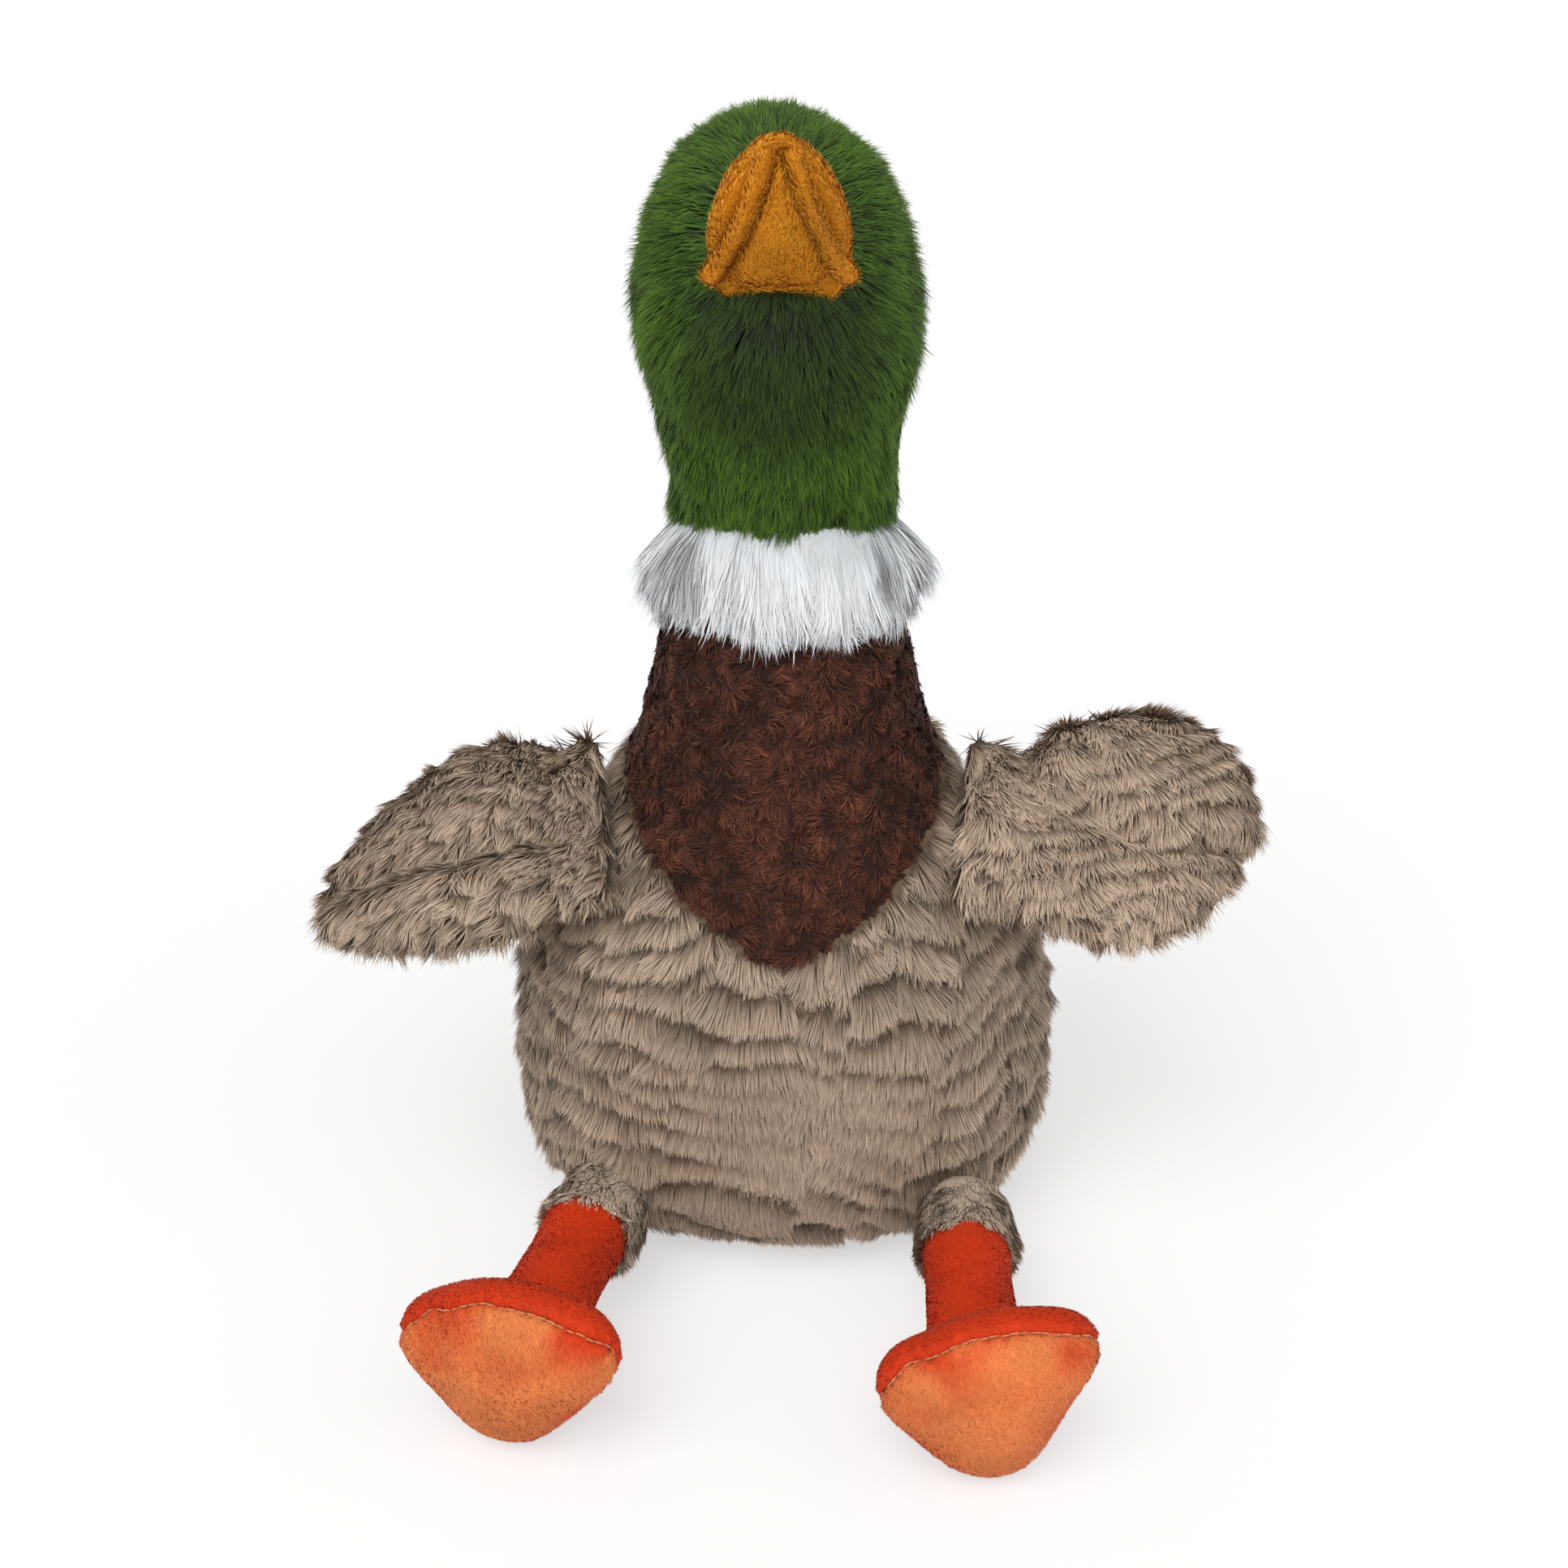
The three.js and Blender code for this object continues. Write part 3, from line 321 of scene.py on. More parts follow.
def made_by(tree, base, inputs):
    """The plain mesh that a tree makes of an object, which is removed."""
    modifier = base.modifiers.new(tree.name, "NODES")
    modifier.node_group = tree
    titles = {item.name: item.identifier for item in tree.interface.items_tree}
    for title, value in inputs.items():
        modifier[titles[title]] = value
    mesh = plain_mesh(base)
    mesh.polygons.foreach_set("use_smooth", np.ones(len(mesh.polygons), bool))
    bpy.data.objects.remove(base)
    return mesh


def pile_nodes():
    """Makes the tree that grows a pile: ribbons that stand on a skin along its nap and gather in locks."""
    sizes = ("Per Area", "Length", "Width", "Bend", "Twist", "Lock Size", "Lock Pull", "Waver", "Waver Size")
    sockets = {"Skin": "Geometry", **dict.fromkeys(sizes, "Float")}
    sockets |= {"Parts": "Int", "Seed": "Int", "Finish": "Material"}
    tree, given = geometry_tree("pile", sockets)

    def number(operation, a, b=0.0):
        return wired(tree, "ShaderNodeMath", {0: a, 1: b}, operation=operation).outputs[0]

    def vector(operation, a, b):
        second = "Scale" if operation == "SCALE" else 1
        made = wired(tree, "ShaderNodeVectorMath", {0: a, second: b}, operation=operation)
        return made.outputs["Value" if operation == "DOT_PRODUCT" else "Vector"]

    def named(title, kind="FLOAT"):
        made = wired(tree, "GeometryNodeInputNamedAttribute", {"Name": title}, data_type=kind)
        return made.outputs["Attribute"]

    def stored(shape, title, value, kind="FLOAT"):
        inputs = {"Geometry": shape, "Name": title, "Value": value}
        return wired(tree, "GeometryNodeStoreNamedAttribute", inputs, data_type=kind).outputs[0]

    def chance(low, high, step):
        seed = number("ADD", given["Seed"], step)
        made = wired(tree, "FunctionNodeRandomValue", {"Seed": seed}, data_type="FLOAT")
        for socket, value in ((2, low), (3, high)):
            if isinstance(value, bpy.types.NodeSocket):
                tree.links.new(value, made.inputs[socket])
            else:
                made.inputs[socket].default_value = value
        return made.outputs[1]

    rows = number("ADD", given["Parts"], 1)
    inputs = {"Size X": 1.0, "Size Y": 1.0, "Vertices X": 2, "Vertices Y": rows}
    strip = wired(tree, "GeometryNodeMeshGrid", inputs).outputs["Mesh"]
    place = wired(tree, "ShaderNodeSeparateXYZ", {0: tree.nodes.new("GeometryNodeInputPosition").outputs[0]})
    strip = stored(strip, "along", number("ADD", place.outputs["Y"], 0.5))
    along = named("along")
    taper = number("SQRT", number("SUBTRACT", 1.0, number("POWER", along, 2.0)))
    side = number("MULTIPLY", number("MULTIPLY", place.outputs["X"], -1.0), taper)
    droop = number("MULTIPLY", number("MULTIPLY", given["Bend"], -1.0), number("POWER", along, 2.0))
    shape = wired(tree, "ShaderNodeCombineXYZ", {"X": side, "Y": droop, "Z": along}).outputs[0]
    strip = wired(tree, "GeometryNodeSetPosition", {"Geometry": strip, "Position": shape}).outputs[0]
    strip = wired(tree, "GeometryNodeMergeByDistance", {"Geometry": strip, "Distance": 1e-4}).outputs[0]

    density = number("MULTIPLY", given["Per Area"], named("thick"))
    inputs = {"Mesh": given["Skin"], "Density": density, "Seed": given["Seed"]}
    sown = wired(tree, "GeometryNodeDistributePointsOnFaces", inputs, distribute_method="RANDOM")
    sown = sown.outputs["Points"]
    position = tree.nodes.new("GeometryNodeInputPosition").outputs[0]
    sown = stored(sown, "root", position, "FLOAT_VECTOR")
    sown = stored(sown, "lock", chance(0.0, 1.0, 1))
    nap = named("nap", "FLOAT_VECTOR")
    out = named("out", "FLOAT_VECTOR")
    lie = wired(tree, "FunctionNodeAlignRotationToVector", {"Vector": nap}, axis="Z").outputs[0]
    inputs = {"Rotation": lie, "Vector": out}
    lie = wired(tree, "FunctionNodeAlignRotationToVector", inputs, axis="Y", pivot_axis="Z").outputs[0]
    spin = chance(number("MULTIPLY", given["Twist"], -1.0), given["Twist"], 2)
    spun = wired(tree, "ShaderNodeCombineXYZ", {"Z": spin}).outputs[0]
    spun = wired(tree, "FunctionNodeEulerToRotation", {0: spun}).outputs[0]
    inputs = {"Rotation": lie, "Rotate By": spun}
    lie = wired(tree, "FunctionNodeRotateRotation", inputs, rotation_space="LOCAL").outputs[0]
    length = number("MULTIPLY", number("MULTIPLY", given["Length"], named("pile")), chance(0.75, 1.2, 3))
    width = number("MULTIPLY", given["Width"], chance(0.7, 1.3, 4))
    scale = wired(tree, "ShaderNodeCombineXYZ", {"X": width, "Y": length, "Z": length}).outputs[0]
    inputs = {"Points": sown, "Instance": strip, "Rotation": lie, "Scale": scale}
    grown = wired(tree, "GeometryNodeInstanceOnPoints", inputs).outputs[0]
    grown = wired(tree, "GeometryNodeRealizeInstances", {"Geometry": grown}).outputs[0]

    root = named("root", "FLOAT_VECTOR")
    fine = number("DIVIDE", 1.0, given["Lock Size"])
    cell = wired(tree, "ShaderNodeTexVoronoi", {"Vector": root, "Scale": fine})
    pull = vector("SUBTRACT", cell.outputs["Position"], root)
    rising = vector("SCALE", out, vector("DOT_PRODUCT", pull, out))
    pull = vector("SUBTRACT", pull, rising)
    gather = number("MULTIPLY", given["Lock Pull"], number("POWER", along, 1.5))
    pull = vector("SCALE", pull, gather)
    wave_scale = number("DIVIDE", 1.0, given["Waver Size"])
    wave = wired(tree, "ShaderNodeTexNoise", {"Vector": position, "Scale": wave_scale, "Detail": 1.0})
    wave = vector("SUBTRACT", wave.outputs["Color"], (0.5, 0.5, 0.5))
    wave = vector("SCALE", wave, number("MULTIPLY", given["Waver"], along))
    offset = vector("ADD", pull, wave)
    grown = wired(tree, "GeometryNodeSetPosition", {"Geometry": grown, "Offset": offset}).outputs[0]
    inputs = {"Geometry": grown, "Material": given["Finish"]}
    grown = wired(tree, "GeometryNodeSetMaterial", inputs).outputs[0]
    tree.links.new(grown, tree.nodes.new("NodeGroupOutput").inputs[0])
    return tree


pile_tree = pile_nodes()


def fixed(made, finish, body, slot, *nodes, fill=None):
    """Gives a piece its material and body and hides the solids that it replaces; slot and fill are not used.
    """
    if finish:
        made.data.materials.append(finish)
    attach(made, body)
    if nodes:
        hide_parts(*nodes)


def pile(name, bare, finish, body, slot, soft_light=0.7, **sizes):
    """Grows the pile on a skin's object, which is removed, and fixes it to the body.

    Soft light is how far a hair is lit like the skin under it, and not like a flat ribbon."""
    mesh = made_by(pile_tree, bare, {**sizes, "Finish": finish})
    mesh.name = name
    skin_out, ribbon_out = np.zeros((2, len(mesh.vertices) * 3), np.float32)
    mesh.attributes["out"].data.foreach_get("vector", skin_out)
    mesh.vertex_normals.foreach_get("vector", ribbon_out)
    lit = soft_light * skin_out.reshape(-1, 3) + (1 - soft_light) * ribbon_out.reshape(-1, 3)
    for spare in ("nap", "thick", "pile", "root"):
        if spare in mesh.attributes:
            mesh.attributes.remove(mesh.attributes[spare])
    mesh.normals_split_custom_set_from_vertices(unit(lit).tolist())
    fixed(placed(name, mesh), None, body, slot)


def plush_material(name, root, middle, tip, patch_size, rough=0.85, sheen=0.1, spread=0.12, blush=None):
    """Pile: dark at the root as painted shade deep in the pile and pale at the tip, each hair a little
    different, in faint larger patches.
    Its second colour, when given, is painted shade: it shows as far as the attribute of that name says."""
    material, tree, cloth = new_material(name)
    cloth.inputs["Roughness"].default_value = rough
    cloth.inputs["Specular IOR Level"].default_value = 0.25
    cloth.inputs["Sheen Weight"].default_value = sheen
    cloth.inputs["Sheen Roughness"].default_value = 0.45
    cloth.inputs["Sheen Tint"].default_value = (*[min(1, 0.5 + value) for value in tip], 1)
    titles = ("along", "lock", "shade")
    read = [wired(tree, "ShaderNodeAttribute", attribute_name=title) for title in titles]
    along, lock, shade = (attribute.outputs["Fac"] for attribute in read)
    # painted shade: each hair darkens from its tip colour towards its root colour, for the shade deep in the
    # pile
    ramp = wired(tree, "ShaderNodeValToRGB", {"Fac": along})
    ramp.color_ramp.elements[0].color = (*root, 1)
    ramp.color_ramp.elements[1].color = (*tip, 1)
    ramp.color_ramp.elements.new(0.5).color = (*middle, 1)
    place = wired(tree, "ShaderNodeTexCoord").outputs["Object"]
    patch = wired(tree, "ShaderNodeTexNoise", {"Vector": place, "Scale": 1 / patch_size, "Detail": 3.0})
    # each hair's tone differs at random, and the palest eighth are painted highlights on single hairs
    own = wired(tree, "ShaderNodeValToRGB", {"Fac": lock})
    own.color_ramp.elements[0].color = (*[(1 - spread) / 1.5] * 3, 1)
    own.color_ramp.elements[1].color = (*[(1 + 3 * spread) / 1.5] * 3, 1)
    own.color_ramp.elements.new(0.88).color = (*[(1 + spread) / 1.5] * 3, 1)
    own = own.outputs["Color"]
    inputs = {"Value": patch.outputs["Fac"], "From Min": 0.3, "From Max": 0.7, "To Min": 1.3, "To Max": 1.65}
    drift = wired(tree, "ShaderNodeMapRange", inputs).outputs[0]
    level = wired(tree, "ShaderNodeMath", {0: own, 1: drift}, operation="MULTIPLY").outputs[0]
    level = wired(tree, "ShaderNodeMath", {0: level, 1: shade}, operation="MULTIPLY").outputs[0]
    base = ramp.outputs["Color"]
    # painted shade: the second colour darkens the base as far as its attribute says
    if blush:
        amount = wired(tree, "ShaderNodeAttribute", attribute_name="blush").outputs["Fac"]
        mix = wired(tree, "ShaderNodeMix", {"Factor": amount}, data_type="RGBA")
        tree.links.new(base, mix.inputs["A"])
        mix.inputs["B"].default_value = (*blush, 1)
        base = mix.outputs["Result"]
    colour = wired(tree, "ShaderNodeVectorMath", {0: base, "Scale": level}, operation="SCALE").outputs[0]
    tree.links.new(colour, cloth.inputs["Base Color"])
    return material


def backing_material(name, colour, grain):
    """The woven ground under a pile, with a fine knit."""
    material, tree, cloth = new_material(name)
    cloth.inputs["Roughness"].default_value = 0.95
    cloth.inputs["Specular IOR Level"].default_value = 0.1
    place = wired(tree, "ShaderNodeTexCoord").outputs["Object"]
    knit = wired(tree, "ShaderNodeTexNoise", {"Vector": place, "Scale": 1 / grain, "Detail": 4.0})
    ramp = wired(tree, "ShaderNodeValToRGB", {"Fac": knit.outputs["Fac"]})
    ramp.color_ramp.elements[0].color = (*[0.5 * value for value in colour], 1)
    ramp.color_ramp.elements[1].color = (*colour, 1)
    tree.links.new(ramp.outputs["Color"], cloth.inputs["Base Color"])
    bump = wired(tree, "ShaderNodeBump", {"Height": knit.outputs["Fac"], "Strength": 0.5, "Distance": 0.0006})
    tree.links.new(bump.outputs[0], cloth.inputs["Normal"])
    return material


def filling(name, skin, depth, body, node):
    """The stuffing of a form, that deep under its cover."""
    inner = skin.halved()
    inner.grow(-depth)
    fixed(inner.mesh_object(name), fibre, body, "stuffing", node)


def stuffing_material(name, colour, size):
    """Loose fibre or cotton, a little brighter on edge."""
    material = backing_material(name, colour, size)
    material.node_tree.nodes["Principled BSDF"].inputs["Sheen Weight"].default_value = 0.2
    return material


fibre = stuffing_material("fibre_stuffing", (0.75, 0.76, 0.78), 6 * mm)
taupe_root, taupe_middle, taupe_tip = (0.07, 0.042, 0.026), (0.32, 0.235, 0.17), (0.54, 0.425, 0.325)
taupe_plush = plush_material("taupe_plush", taupe_root, taupe_middle, taupe_tip, 0.03)
# painted shade: the taupe backing is darker than the pile, for the depth of the pile where it shows between
# tufts
taupe_backing = backing_material("taupe_backing", (0.16, 0.11, 0.07), 0.0015)


def leaned(comb, out, lift):
    """Directions that are turned from the comb towards the outward direction by that angle."""
    lift = np.reshape(lift, (-1, 1))
    return comb * np.cos(lift) + out * np.sin(lift)


def tufted(skin, comb, downwards, around, tall, width, wild, seed, block=26 * mm, pitch=11 * mm):
    """Raises a skin in overlapping ledges of tufts, and gives the fields of the pile combed over them.

    Downwards and around are distances on the skin, width is that of a tuft, block that of a ledge, and
    wild is how far the tufts fan out and turn their own ways. A hair ends a little past the edge of its own
    ledge, which stands over a gap that the shade field darkens further with painted shade."""
    wild = wild + np.zeros(len(skin.points))
    flow = np.stack([around, downwards], 1)
    bend = 0.8 * pitch * ripple(flow, 4.2 * pitch, seed) + 0.36 * pitch * ripple(flow, 1.5 * pitch, seed + 1)
    reach = (around + 0.35 * downwards + pitch * ripple(flow, 2 * pitch, seed + 12)) / block
    column = np.floor(reach)
    slant = 0.7 * pitch * (2 * hashed(column[:, None], seed + 14) - 1) * (reach - column - 0.5)
    down = downwards + bend + slant + pitch * hashed(column[:, None], seed + 13)
    row = np.floor(down / pitch)
    cell = np.stack([row, column], 1)
    shift = hashed(cell, seed + 2)
    wide = width * (0.75 + 0.8 * shift)
    side = around + shift * 10 * width + 0.25 * width * ripple(flow, 0.8 * width.mean(), seed + 3)
    tuft = np.floor(side / wide)
    across = 2 * (side / wide - tuft) - 1
    own, turned, raised = (hashed(np.stack([row, tuft, column], 1), seed + step) for step in (4, 5, 6))
    edge = 1 - 0.22 * own - (0.1 + 0.2 * wild) * across**2
    depth = down / pitch - row
    on_ledge = depth < edge
    left = np.where(on_ledge, edge - depth, 1.7 - depth) * pitch
    rise = np.where(on_ledge, (depth + 0.25) / (edge + 0.25), 0.8 * (depth - edge))
    height = np.clip(rise, 0, 1) * (0.45 + 0.55 * raised) * (0.75 + 0.25 * shift)
    height *= 1 - 0.3 * np.abs(across) ** 3
    level = skin.out
    skin.grow(tall * height)
    facing = (skin.out * level).sum(1)
    comb = skin.tangent(comb)
    stray = (0.2 + 0.5 * wild) * across + 1.2 * wild * (turned - 0.5)
    stray += 0.22 * ripple(skin.points, 20 * mm, seed + 10)
    comb = skin.tangent(comb + stray[:, None] * np.cross(level, comb))
    lift = 0.16 + 0.45 * wild * raised + 0.07 * ripple(skin.points, 12 * mm, seed + 11)
    return {
        "nap": leaned(comb, level, lift),
        "out": unit(0.6 * level + 0.4 * skin.out),
        "pile": np.clip((left + (1.3 + 1.4 * wild) * mm) / taupe_length, 0.3, 1),
        "thick": (facing > 0.4).astype(float),
        # painted shade: darkest in the gap under each ledge and lighter up the ledge; each tuft's tone also
        # differs a little at random
        "shade": 0.42 + 0.62 * eased(rise, 0.02, 0.45) + 0.24 * (own - 0.5),
    }


taupe_length = 8.5 * mm
trunk_base, trunk_height = 7 * mm, 196 * mm
trunk_width, trunk_front, trunk_back = 76 * mm, 64.5 * mm, 60 * mm
neck_set_back = 6.5 * mm
trunk_rows = [  # height, half width, front and back, as shares of those sizes
    (0, 0.03, 0.03, 0.03),
    (0, 0.4, 0.38, 0.38),
    (0, 0.72, 0.68, 0.67),
    (0.03, 0.87, 0.83, 0.81),
    (0.09, 0.96, 0.93, 0.92),
    (0.17, 1, 0.985, 0.98),
    (0.26, 0.99, 1, 1),
    (0.35, 0.965, 0.995, 0.985),
    (0.44, 0.915, 0.965, 0.95),
    (0.51, 0.84, 0.925, 0.9),
    (0.575, 0.735, 0.87, 0.82),
    (0.64, 0.62, 0.8, 0.74),
    (0.71, 0.515, 0.72, 0.65),
    (0.78, 0.46, 0.63, 0.575),
    (0.86, 0.415, 0.535, 0.515),
    (0.93, 0.375, 0.455, 0.475),
    (0.985, 0.355, 0.41, 0.44),
    (0.965, 0.29, 0.33, 0.36),
    (0.915, 0.18, 0.21, 0.22),
    (0.89, 0.03, 0.03, 0.03),
]
rows = smooth_rows(trunk_rows, 170)
lean = neck_set_back * eased(rows[:, 0], 0.5, 1)
trunk_sections = np.stack(
    [
        trunk_base + rows[:, 0] * trunk_height,
        rows[:, 1] * trunk_width,
        rows[:, 2] * trunk_front,
        rows[:, 3] * trunk_back,
        lean,
        0 * lean,
    ],
    1,
)
trunk = Skin(lofted(trunk_sections, 260, squareness=2.2))
stuff(trunk, 5 * mm, 4, 3 * mm)

bib_tip, bib_side, bib_half = 108.5 * mm, 148 * mm, 44 * mm
nape_seam = 142 * mm
cover_off = 2.5 * mm  # from the stuffing to the cover's outer face
t = np.linspace(0, 1, 40)[:, None]
bib_line = (
    (1 - t) ** 3 * (bib_half, bib_side)
    + 3 * (1 - t) ** 2 * t * (0.95 * bib_half, bib_tip + 0.63 * (bib_side - bib_tip))
    + 3 * (1 - t) * t**2 * (0.55 * bib_half, bib_tip + 0.24 * (bib_side - bib_tip))
    + t**3 * (0, bib_tip)
)[::-1]
seam_height = np.where(
    trunk.points[:, 1] < 0,
    np.interp(np.abs(trunk.points[:, 0]), bib_line[:, 0], bib_line[:, 1]),
    nape_seam,
)
above_seam = trunk.points[:, 2] - seam_height
trunk.grow(cover_off)
bare_trunk = trunk.points.copy(), trunk.out.copy()
around = trunk.turn * 2 * np.pi * 70 * mm  # on a radius of 70 mm, that of the belly
under_seat = eased(trunk.points[:, 2], 14 * mm, 5 * mm)
plain = np.maximum(under_seat, eased(above_seam, -2 * mm, 0.5 * mm))
x, y, z = trunk.points.T
spot_aside, spot_height, spot_half, spot_rise = 8 * mm, 62 * mm, 44 * mm, 26 * mm
from_spot = np.hypot((x - spot_aside) / spot_half, (z - spot_height) / spot_rise)
smooth_belly = eased(from_spot, 1.15, 0.6) * (y < 0)
calm = eased(ripple(trunk.points, 24 * mm, 18), 0.1, 0.6)
tall = 3.6 * mm * (1 - plain) * (1 - 0.85 * smooth_belly) * (1 - 0.5 * calm)
off_belly = np.maximum(np.abs(x) - 34 * mm, z - 88 * mm) + 8 * mm * ripple(trunk.points, 20 * mm, 19)
wild = 0.1 + 0.6 * eased(off_belly, -2 * mm, 16 * mm) * (1 - under_seat)
width = np.where(wild > 0.4, 13 * mm, 34 * mm)
upper = eased(z, 60 * mm, 105 * mm)
downwards = -z - 0.2 * np.abs(x) * upper - 0.1 * x * (1 - upper)
comb = np.array([0, 0, -1.0]) * (1 - under_seat[:, None]) + np.array([0, 1.0, 0]) * under_seat[:, None]
fields = tufted(trunk, comb, downwards, around, tall, width, wild, 11)
fields["pile"] = np.maximum(fields["pile"], 0.85 * smooth_belly) * (1 - 0.45 * under_seat)
# the painted gap shade fades out on the smooth middle of the belly
fields["shade"] += (1 - fields["shade"]) * 0.7 * smooth_belly
trunk.grow(np.where(above_seam > 0.5 * mm, -1.2 * mm, 0))
taupe_part = above_seam < 0.6 * mm
front = trunk.points[:, 1] < 0.8 * mm
sides = trunk.points[:, 2] > 6 * mm
taupe_pile = {
    "Per Area": 2.5e6,
    "Length": taupe_length,
    "Width": 0.4 * mm,
    "Bend": 0.1,
    "Twist": 0.4,
    "Lock Size": 2.5 * mm,
    "Lock Pull": 0.15,
    "Waver": 0.8 * mm,
    "Waver Size": 4 * mm,
    "Parts": 2,
}
back_pile = {**taupe_pile, "Per Area": 1.25e6, "Width": 0.55 * mm}
for name, part, sizes, seed in (
    ("trunk_pile_left", front & sides & (trunk.points[:, 0] < 0.5 * mm), taupe_pile, 1),
    ("trunk_pile_right", front & sides & (trunk.points[:, 0] > -0.5 * mm), taupe_pile, 2),
    ("trunk_pile_back", ~(trunk.points[:, 1] < 0) & sides, back_pile, 3),
    ("trunk_pile_seat", ~sides | (trunk.points[:, 2] < 7 * mm), back_pile, 22),
):
    bare = trunk.mesh_object(name + "_skin", taupe_part & part, **fields)
    pile(name, bare, taupe_plush, "torso", "taupe_fur", **sizes, Seed=seed)

trunk_cover = trunk.halved().mesh_object("trunk_cover")
fixed(trunk_cover, taupe_backing, "torso", "taupe_fur", "body_front", "body_back", "body_base", fill=0.75)


# Bib and nape: two panels of chocolate-brown curly fleece. The bib is sewn into the trunk's front along a
# rounded V seam, the nape carries on round the back of the neck, and side seams join them below the ruff.
def panel(skin, name, keep, thickness, finish, **fields):
    """The kept part of a form as a sewn panel, with an inner face and a closed rim if it has a thickness."""
    made = skin.mesh_object(name, keep, **fields)
    made.data.materials.append(finish)
    if thickness:
        wall = made.modifiers.new("wall", "SOLIDIFY")
        wall.thickness = thickness
        wall.offset = -1
        made.data = plain_mesh(made)
        made.modifiers.clear()
    return made


def curly(points, size, seed):
    """Heights from -1 to 1 of small rounded curls."""
    return 0.65 * ripple(points, size, seed) + 0.35 * ripple(points, 0.45 * size, seed + 1)


brown_root, brown_middle, brown_tip = (0.006, 0.0015, 0.001), (0.042, 0.012, 0.006), (0.15, 0.05, 0.026)
fleece = plush_material("brown_fleece", brown_root, brown_middle, brown_tip, 0.012, sheen=0.05, spread=0.35)
fleece_backing = backing_material("fleece_backing", (0.05, 0.014, 0.007), 1.5 * mm)
trunk.points, trunk.out = bare_trunk
curls = curly(trunk.points, 3.4 * mm, 31)
trunk.grow(0.5 * mm + 1.1 * mm * curls)
down = trunk.tangent(np.array([0, 0, -1.0]))
comb = leaned(down, np.cross(trunk.out, down), 2.6 * ripple(trunk.points, 4.5 * mm, 33))
fields = {
    "nap": leaned(comb, trunk.out, 0.6 + 0.4 * ripple(trunk.points, 3 * mm, 34)),
    "out": trunk.out,
    "pile": 0.9 + 0.35 * ripple(trunk.points, 4 * mm, 35),
    "thick": np.ones(len(comb)),
    # painted shade in the hollows between the curls and painted light on their tops, with a slow random
    # change in tone
    "shade": np.clip(0.85 + 0.9 * curls + 0.15 * ripple(trunk.points, 12 * mm, 36), 0.25, 1.7),
}
brown_part = above_seam > -0.4 * mm
fleece_pile = {
    "Length": 3.6 * mm,
    "Width": 0.5 * mm,
    "Bend": 0.95,
    "Twist": 0.9,
    "Lock Size": 2.1 * mm,
    "Lock Pull": 0.75,
    "Waver": 0.8 * mm,
    "Waver Size": 1.5 * mm,
    "Parts": 2,
}
for name, part, node, per_area, seed in (
    ("bib", trunk.points[:, 1] < 0.5 * mm, "chest_bib", 3.2e6, 4),
    ("nape", trunk.points[:, 1] > -0.5 * mm, "nape", 2.3e6, 5),
):
    bare = trunk.mesh_object(name + "_skin", brown_part & part, **fields)
    sizes = {**fleece_pile, "Per Area": per_area}
    pile(name + "_pile", bare, fleece, "torso", "brown_fleece", **sizes, Seed=seed)
    cover = panel(trunk, name + "_cover", brown_part & part, 1.2 * mm, fleece_backing)
    fixed(cover, None, "torso", "brown_fleece", node)


# Head and upper neck: two halves of mid-length green plush, joined by a seam down the front and the back,
# round one stuffed form. It looks up, and its round lower end sits in the hollow top of the trunk.
def joint_spot(name):
    """Where a joint's axis passes."""
    return np.array(next(joint for joint in frame["joints"] if joint["name"] == name)["pos_m"])


def strays(points, size, seed):
    """Smooth noise in all three directions."""
    return np.stack([ripple(points, size, seed + step) for step in range(3)], 1)


neck_joint = joint_spot("neck_nod")
head_height, head_width, head_front, head_back = 102 * mm, 32 * mm, 33 * mm, 36 * mm
head_set_back, head_aside = 11 * mm, -3 * mm
ball_radius = 24 * mm
head_rows = [
    (0.08, 0.79, 0.76, 0.71),
    (0.22, 0.84, 0.81, 0.78),
    (0.34, 0.89, 0.87, 0.86),
    (0.44, 0.96, 0.95, 0.94),
    (0.54, 1, 1, 1),
    (0.64, 0.99, 0.98, 0.99),
    (0.74, 0.93, 0.9, 0.95),
    (0.83, 0.82, 0.78, 0.84),
    (0.91, 0.66, 0.62, 0.67),
    (0.97, 0.44, 0.42, 0.46),
    (1, 0.18, 0.17, 0.18),
    (1.005, 0.03, 0.03, 0.03),
]
sections = []
for angle in np.radians([-88, -70, -50, -28, -8]):
    reach = ball_radius * math.cos(angle)
    sections.append((ball_radius * math.sin(angle), reach, reach, reach, 0, 0))
for height, width, front, back in head_rows:
    up = eased(height, 0, 1)
    reach = (width * head_width, front * head_front, back * head_back)
    sections.append((height * head_height, *reach, head_set_back * up, head_aside * up))
rings = lofted(smooth_rows(sections, 130), 180) + neck_joint
head = Skin(rings)
stuff(head, 4.5 * mm, 4, 2 * mm)
head.grow(cover_off + 0.5 * mm * ripple(head.points, 14 * mm, 41))

bill_root = neck_joint + (-1 * mm, -20.5 * mm, 78 * mm)
bill_rise = math.radians(50)
bill_out = np.array([0, -math.cos(bill_rise), math.sin(bill_rise)])
bill_up = np.array([0, math.sin(bill_rise), math.cos(bill_rise)])
eye_boxes = {body_side: np.array(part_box("eye_" + body_side)) for body_side in ("left", "right")}

